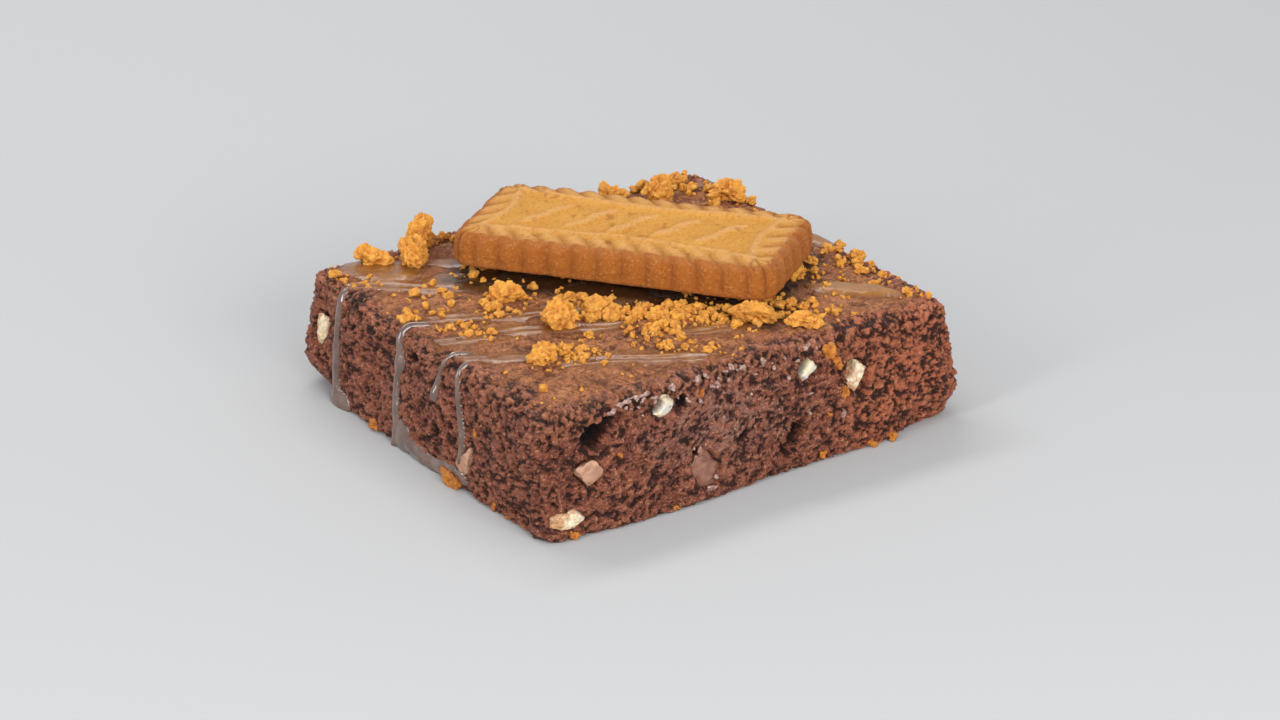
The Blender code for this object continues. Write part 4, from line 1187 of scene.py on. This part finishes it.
# Place and size of each.
STUCK = (
    (-48.2, -12.6, 1.3, 2.4, 8.0, 2.8), (-47.8, 15.0, 1.0, 1.8, 2.8, 1.9), (-47.2, -26.0, 0.9, 1.4, 2.4, 1.5),
    (-47.0, -30.5, 0.9, 1.2, 3.2, 1.3), (-46.6, -35.5, 0.8, 1.2, 3.4, 1.2), (-45.2, -40.5, 0.8, 2.2, 2.4, 1.2),
    (-42.0, -43.6, 0.8, 2.2, 1.2, 1.2), (-33.5, -44.0, 0.7, 1.6, 1.0, 0.9), (-20.5, -44.6, 0.7, 1.4, 0.9, 0.8),
    (24.0, -44.0, 0.8, 1.5, 1.2, 1.3), (29.0, -44.0, 0.8, 2.4, 1.6, 1.5), (13.0, -43.4, 1.4, 1.2, 1.0, 1.3),
    (16.4, -40.2, 20.0, 2.6, 1.4, 3.6), (18.2, -41.0, 17.6, 2.0, 1.2, 2.6), (19.6, -41.4, 11.6, 1.6, 0.9, 3.0),
    (-46.6, -19.0, 12.5, 0.7, 0.9, 1.6), (-44.8, -33.5, 17.0, 0.8, 1.0, 0.9), (-45.6, -28.0, 9.0, 0.7, 0.8, 1.2),
    (-28.6, -42.6, 7.8, 1.1, 0.8, 1.1), (-31.0, -42.4, 13.0, 0.9, 0.7, 0.9), (-9.0, -42.0, 6.4, 1.0, 0.7, 1.0),
    (15.6, -42.0, 8.2, 1.3, 0.8, 1.0), (-12.0, -40.0, 19.0, 0.9, 0.7, 0.9), (43.5, -24.0, 5.0, 1.1, 1.1, 1.4),
    (45.8, -20.0, 9.0, 1.0, 1.4, 1.5), (45.4, 4.0, 1.2, 1.2, 2.2, 1.3), (45.8, 20.0, 1.0, 1.2, 1.8, 1.2),
    (10.0, 44.0, 0.9, 2.0, 1.2, 1.3), (-14.0, 44.2, 0.9, 1.6, 1.0, 1.1), (26.0, 43.0, 11.0, 1.1, 0.8, 1.2),
)
soaked_crumb, tree, shader, node = new_material("soaked_crumb", 0.45)
colour = blend(node, speckle(node, 0.9, 4, 0.7), linear(168, 92, 22), linear(216, 136, 46))
tree.links.new(colour, shader.inputs["Base Color"])
relief(node, shader, speckle(node, 0.5, 3, 0.7), 0.2)
stuck = np.array(STUCK)
join_lumps("crumbs_stuck", 20, 28, stuck[:, :3], stuck[:, 3:], 0.6, 15, 10, soaked_crumb)


# ---- Glaze smears and painted sheen ----
# White chocolate and dried sugar that the knife dragged along the worn front rim and a little way down the
# cut face: small pale flakes, and many specks among them. Their paleness is partly painted wet sheen.

# Place along the front face, height, and size of the larger ones.
SMEARS = (
    (-31.5, 20.6, 2.6, 0.6, 1.2), (-29.0, 21.4, 3.2, 0.6, 0.8), (-25.0, 21.6, 4.4, 0.5, 0.6),
    (-18.0, 21.4, 1.6, 0.6, 1.6), (-12.0, 21.0, 2.2, 0.6, 1.8), (-2.0, 20.8, 1.6, 0.6, 1.2),
    (8.5, 21.4, 2.8, 0.6, 0.8), (13.0, 21.4, 4.6, 0.7, 0.8), (17.8, 21.2, 2.2, 0.6, 0.8),
    (7.0, 16.6, 1.2, 0.5, 2.0), (14.6, 15.4, 2.4, 0.9, 1.5), (11.0, 13.0, 2.2, 0.5, 0.9),
    (19.0, 7.4, 1.6, 0.5, 2.6), (-12.6, 2.0, 2.0, 0.6, 1.2), (-15.4, 1.0, 1.2, 0.6, 0.8),
    (-11.0, 3.8, 1.0, 0.5, 1.4),
)
SPECKS = 80
chance = np.random.default_rng(19)
specks = np.column_stack([chance.uniform(-30, 18, SPECKS), 21.6 - chance.exponential(2.4, SPECKS).clip(0, 12)])
sizes = chance.uniform(0.25, 0.9, (SPECKS, 1)) * chance.uniform(0.5, 1.5, (SPECKS, 3))
smears = np.concatenate([np.array(SMEARS), np.column_stack([specks, sizes])])
way = np.repeat([[0.0, -1.0]], len(smears), 0)
front = np.column_stack([smears[:, 0], np.full(len(smears), -CAKE_WIDTH / 2)])
stand = cut_offset(front, way, np.zeros(len(smears)), np.minimum(smears[:, 1], wall_top))
stand -= RIM_RADIUS - np.sqrt(np.maximum(RIM_RADIUS**2 - np.maximum(0, smears[:, 1] - wall_top) ** 2, 0))
spots = np.column_stack([smears[:, 0], -CAKE_WIDTH / 2 - stand + cake_shift[1] + 0.25, smears[:, 1]])
# Painted sheen: the pale flakes stand partly for the wet shine along the rim.
sugar, tree, shader, node = new_material("sugar_glaze", 0.3)
colour = blend(node, speckle(node, 0.7, 3, 0.7), linear(178, 148, 136), linear(120, 82, 70))
tree.links.new(colour, shader.inputs["Base Color"])
join_lumps("glaze_smears", 14, 20, spots, smears[:, 2:], 0.5, 21, 9, sugar)


# ---- Table, light and camera ----
# A plain pale table top under a large soft window light from behind and above, with weak fill in front.

reach = np.linspace(-1500, 1500, 5)
x, y = np.meshgrid(reach, reach)
table_points = np.column_stack([x.ravel(), y.ravel(), np.zeros(x.size)])
table_mesh = bpy.data.meshes.new("table_top")
table_mesh.from_pydata(table_points * MM, [], grid_quads(5, 5).tolist())
table_top = bpy.data.objects.new("table_top", table_mesh)
bpy.context.scene.collection.objects.link(table_top)
pale, tree, shader, node = new_material("pale_table", 0.8, 0.2)
shader.inputs["Base Color"].default_value = linear(178, 178, 178)
table_mesh.materials.append(pale)
table_top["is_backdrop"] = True

world = bpy.data.worlds.new("soft_room")
world.use_nodes = True
bpy.context.scene.world = world
room = world.node_tree.nodes["Background"]
room.inputs["Color"].default_value = (0.95, 0.97, 1.0, 1)
room.inputs["Strength"].default_value = 0.74


def lamp(name, where, towards, size, power):
    """A square soft lamp at a place in millimetres that faces another place."""
    light = bpy.data.lights.new(name, "AREA")
    light.shape = "RECTANGLE"
    light.size, light.size_y = size[0] * MM, size[1] * MM
    light.energy = power
    made = bpy.data.objects.new(name, light)
    made.location = np.array(where) * MM
    way = (made.location - type(made.location)(np.array(towards) * MM)).normalized()
    made.rotation_euler = way.to_track_quat("Z", "Y").to_euler()
    bpy.context.scene.collection.objects.link(made)


lamp("window", (60, 500, 640), (0, 0, 10), (700, 130), 3.0)
lamp("front_fill", (-60, -680, 330), (0, 0, 10), (600, 300), 4.5)
lamp("side_strip", (-640, -120, 300), (0, 0, 10), (110, 420), 2.0)

camera = bpy.data.cameras.new("camera")
camera.sensor_width = 36
camera.lens = 101.25
camera.clip_start, camera.clip_end = 0.05, 10
eye = bpy.data.objects.new("camera", camera)
eye.location = (-0.3526, -0.5106, 0.2903)
heading, slope = math.radians(34.817), math.radians(24.504)
eye.rotation_euler = (math.pi / 2 - slope, 0, -heading)
bpy.context.scene.collection.objects.link(eye)
bpy.context.scene.camera = eye
bpy.context.scene.view_settings.view_transform = "Standard"

visual_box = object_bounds()
sizes = {"cad": [list(corner) for corner in cad_box], "visual": [list(corner) for corner in visual_box]}
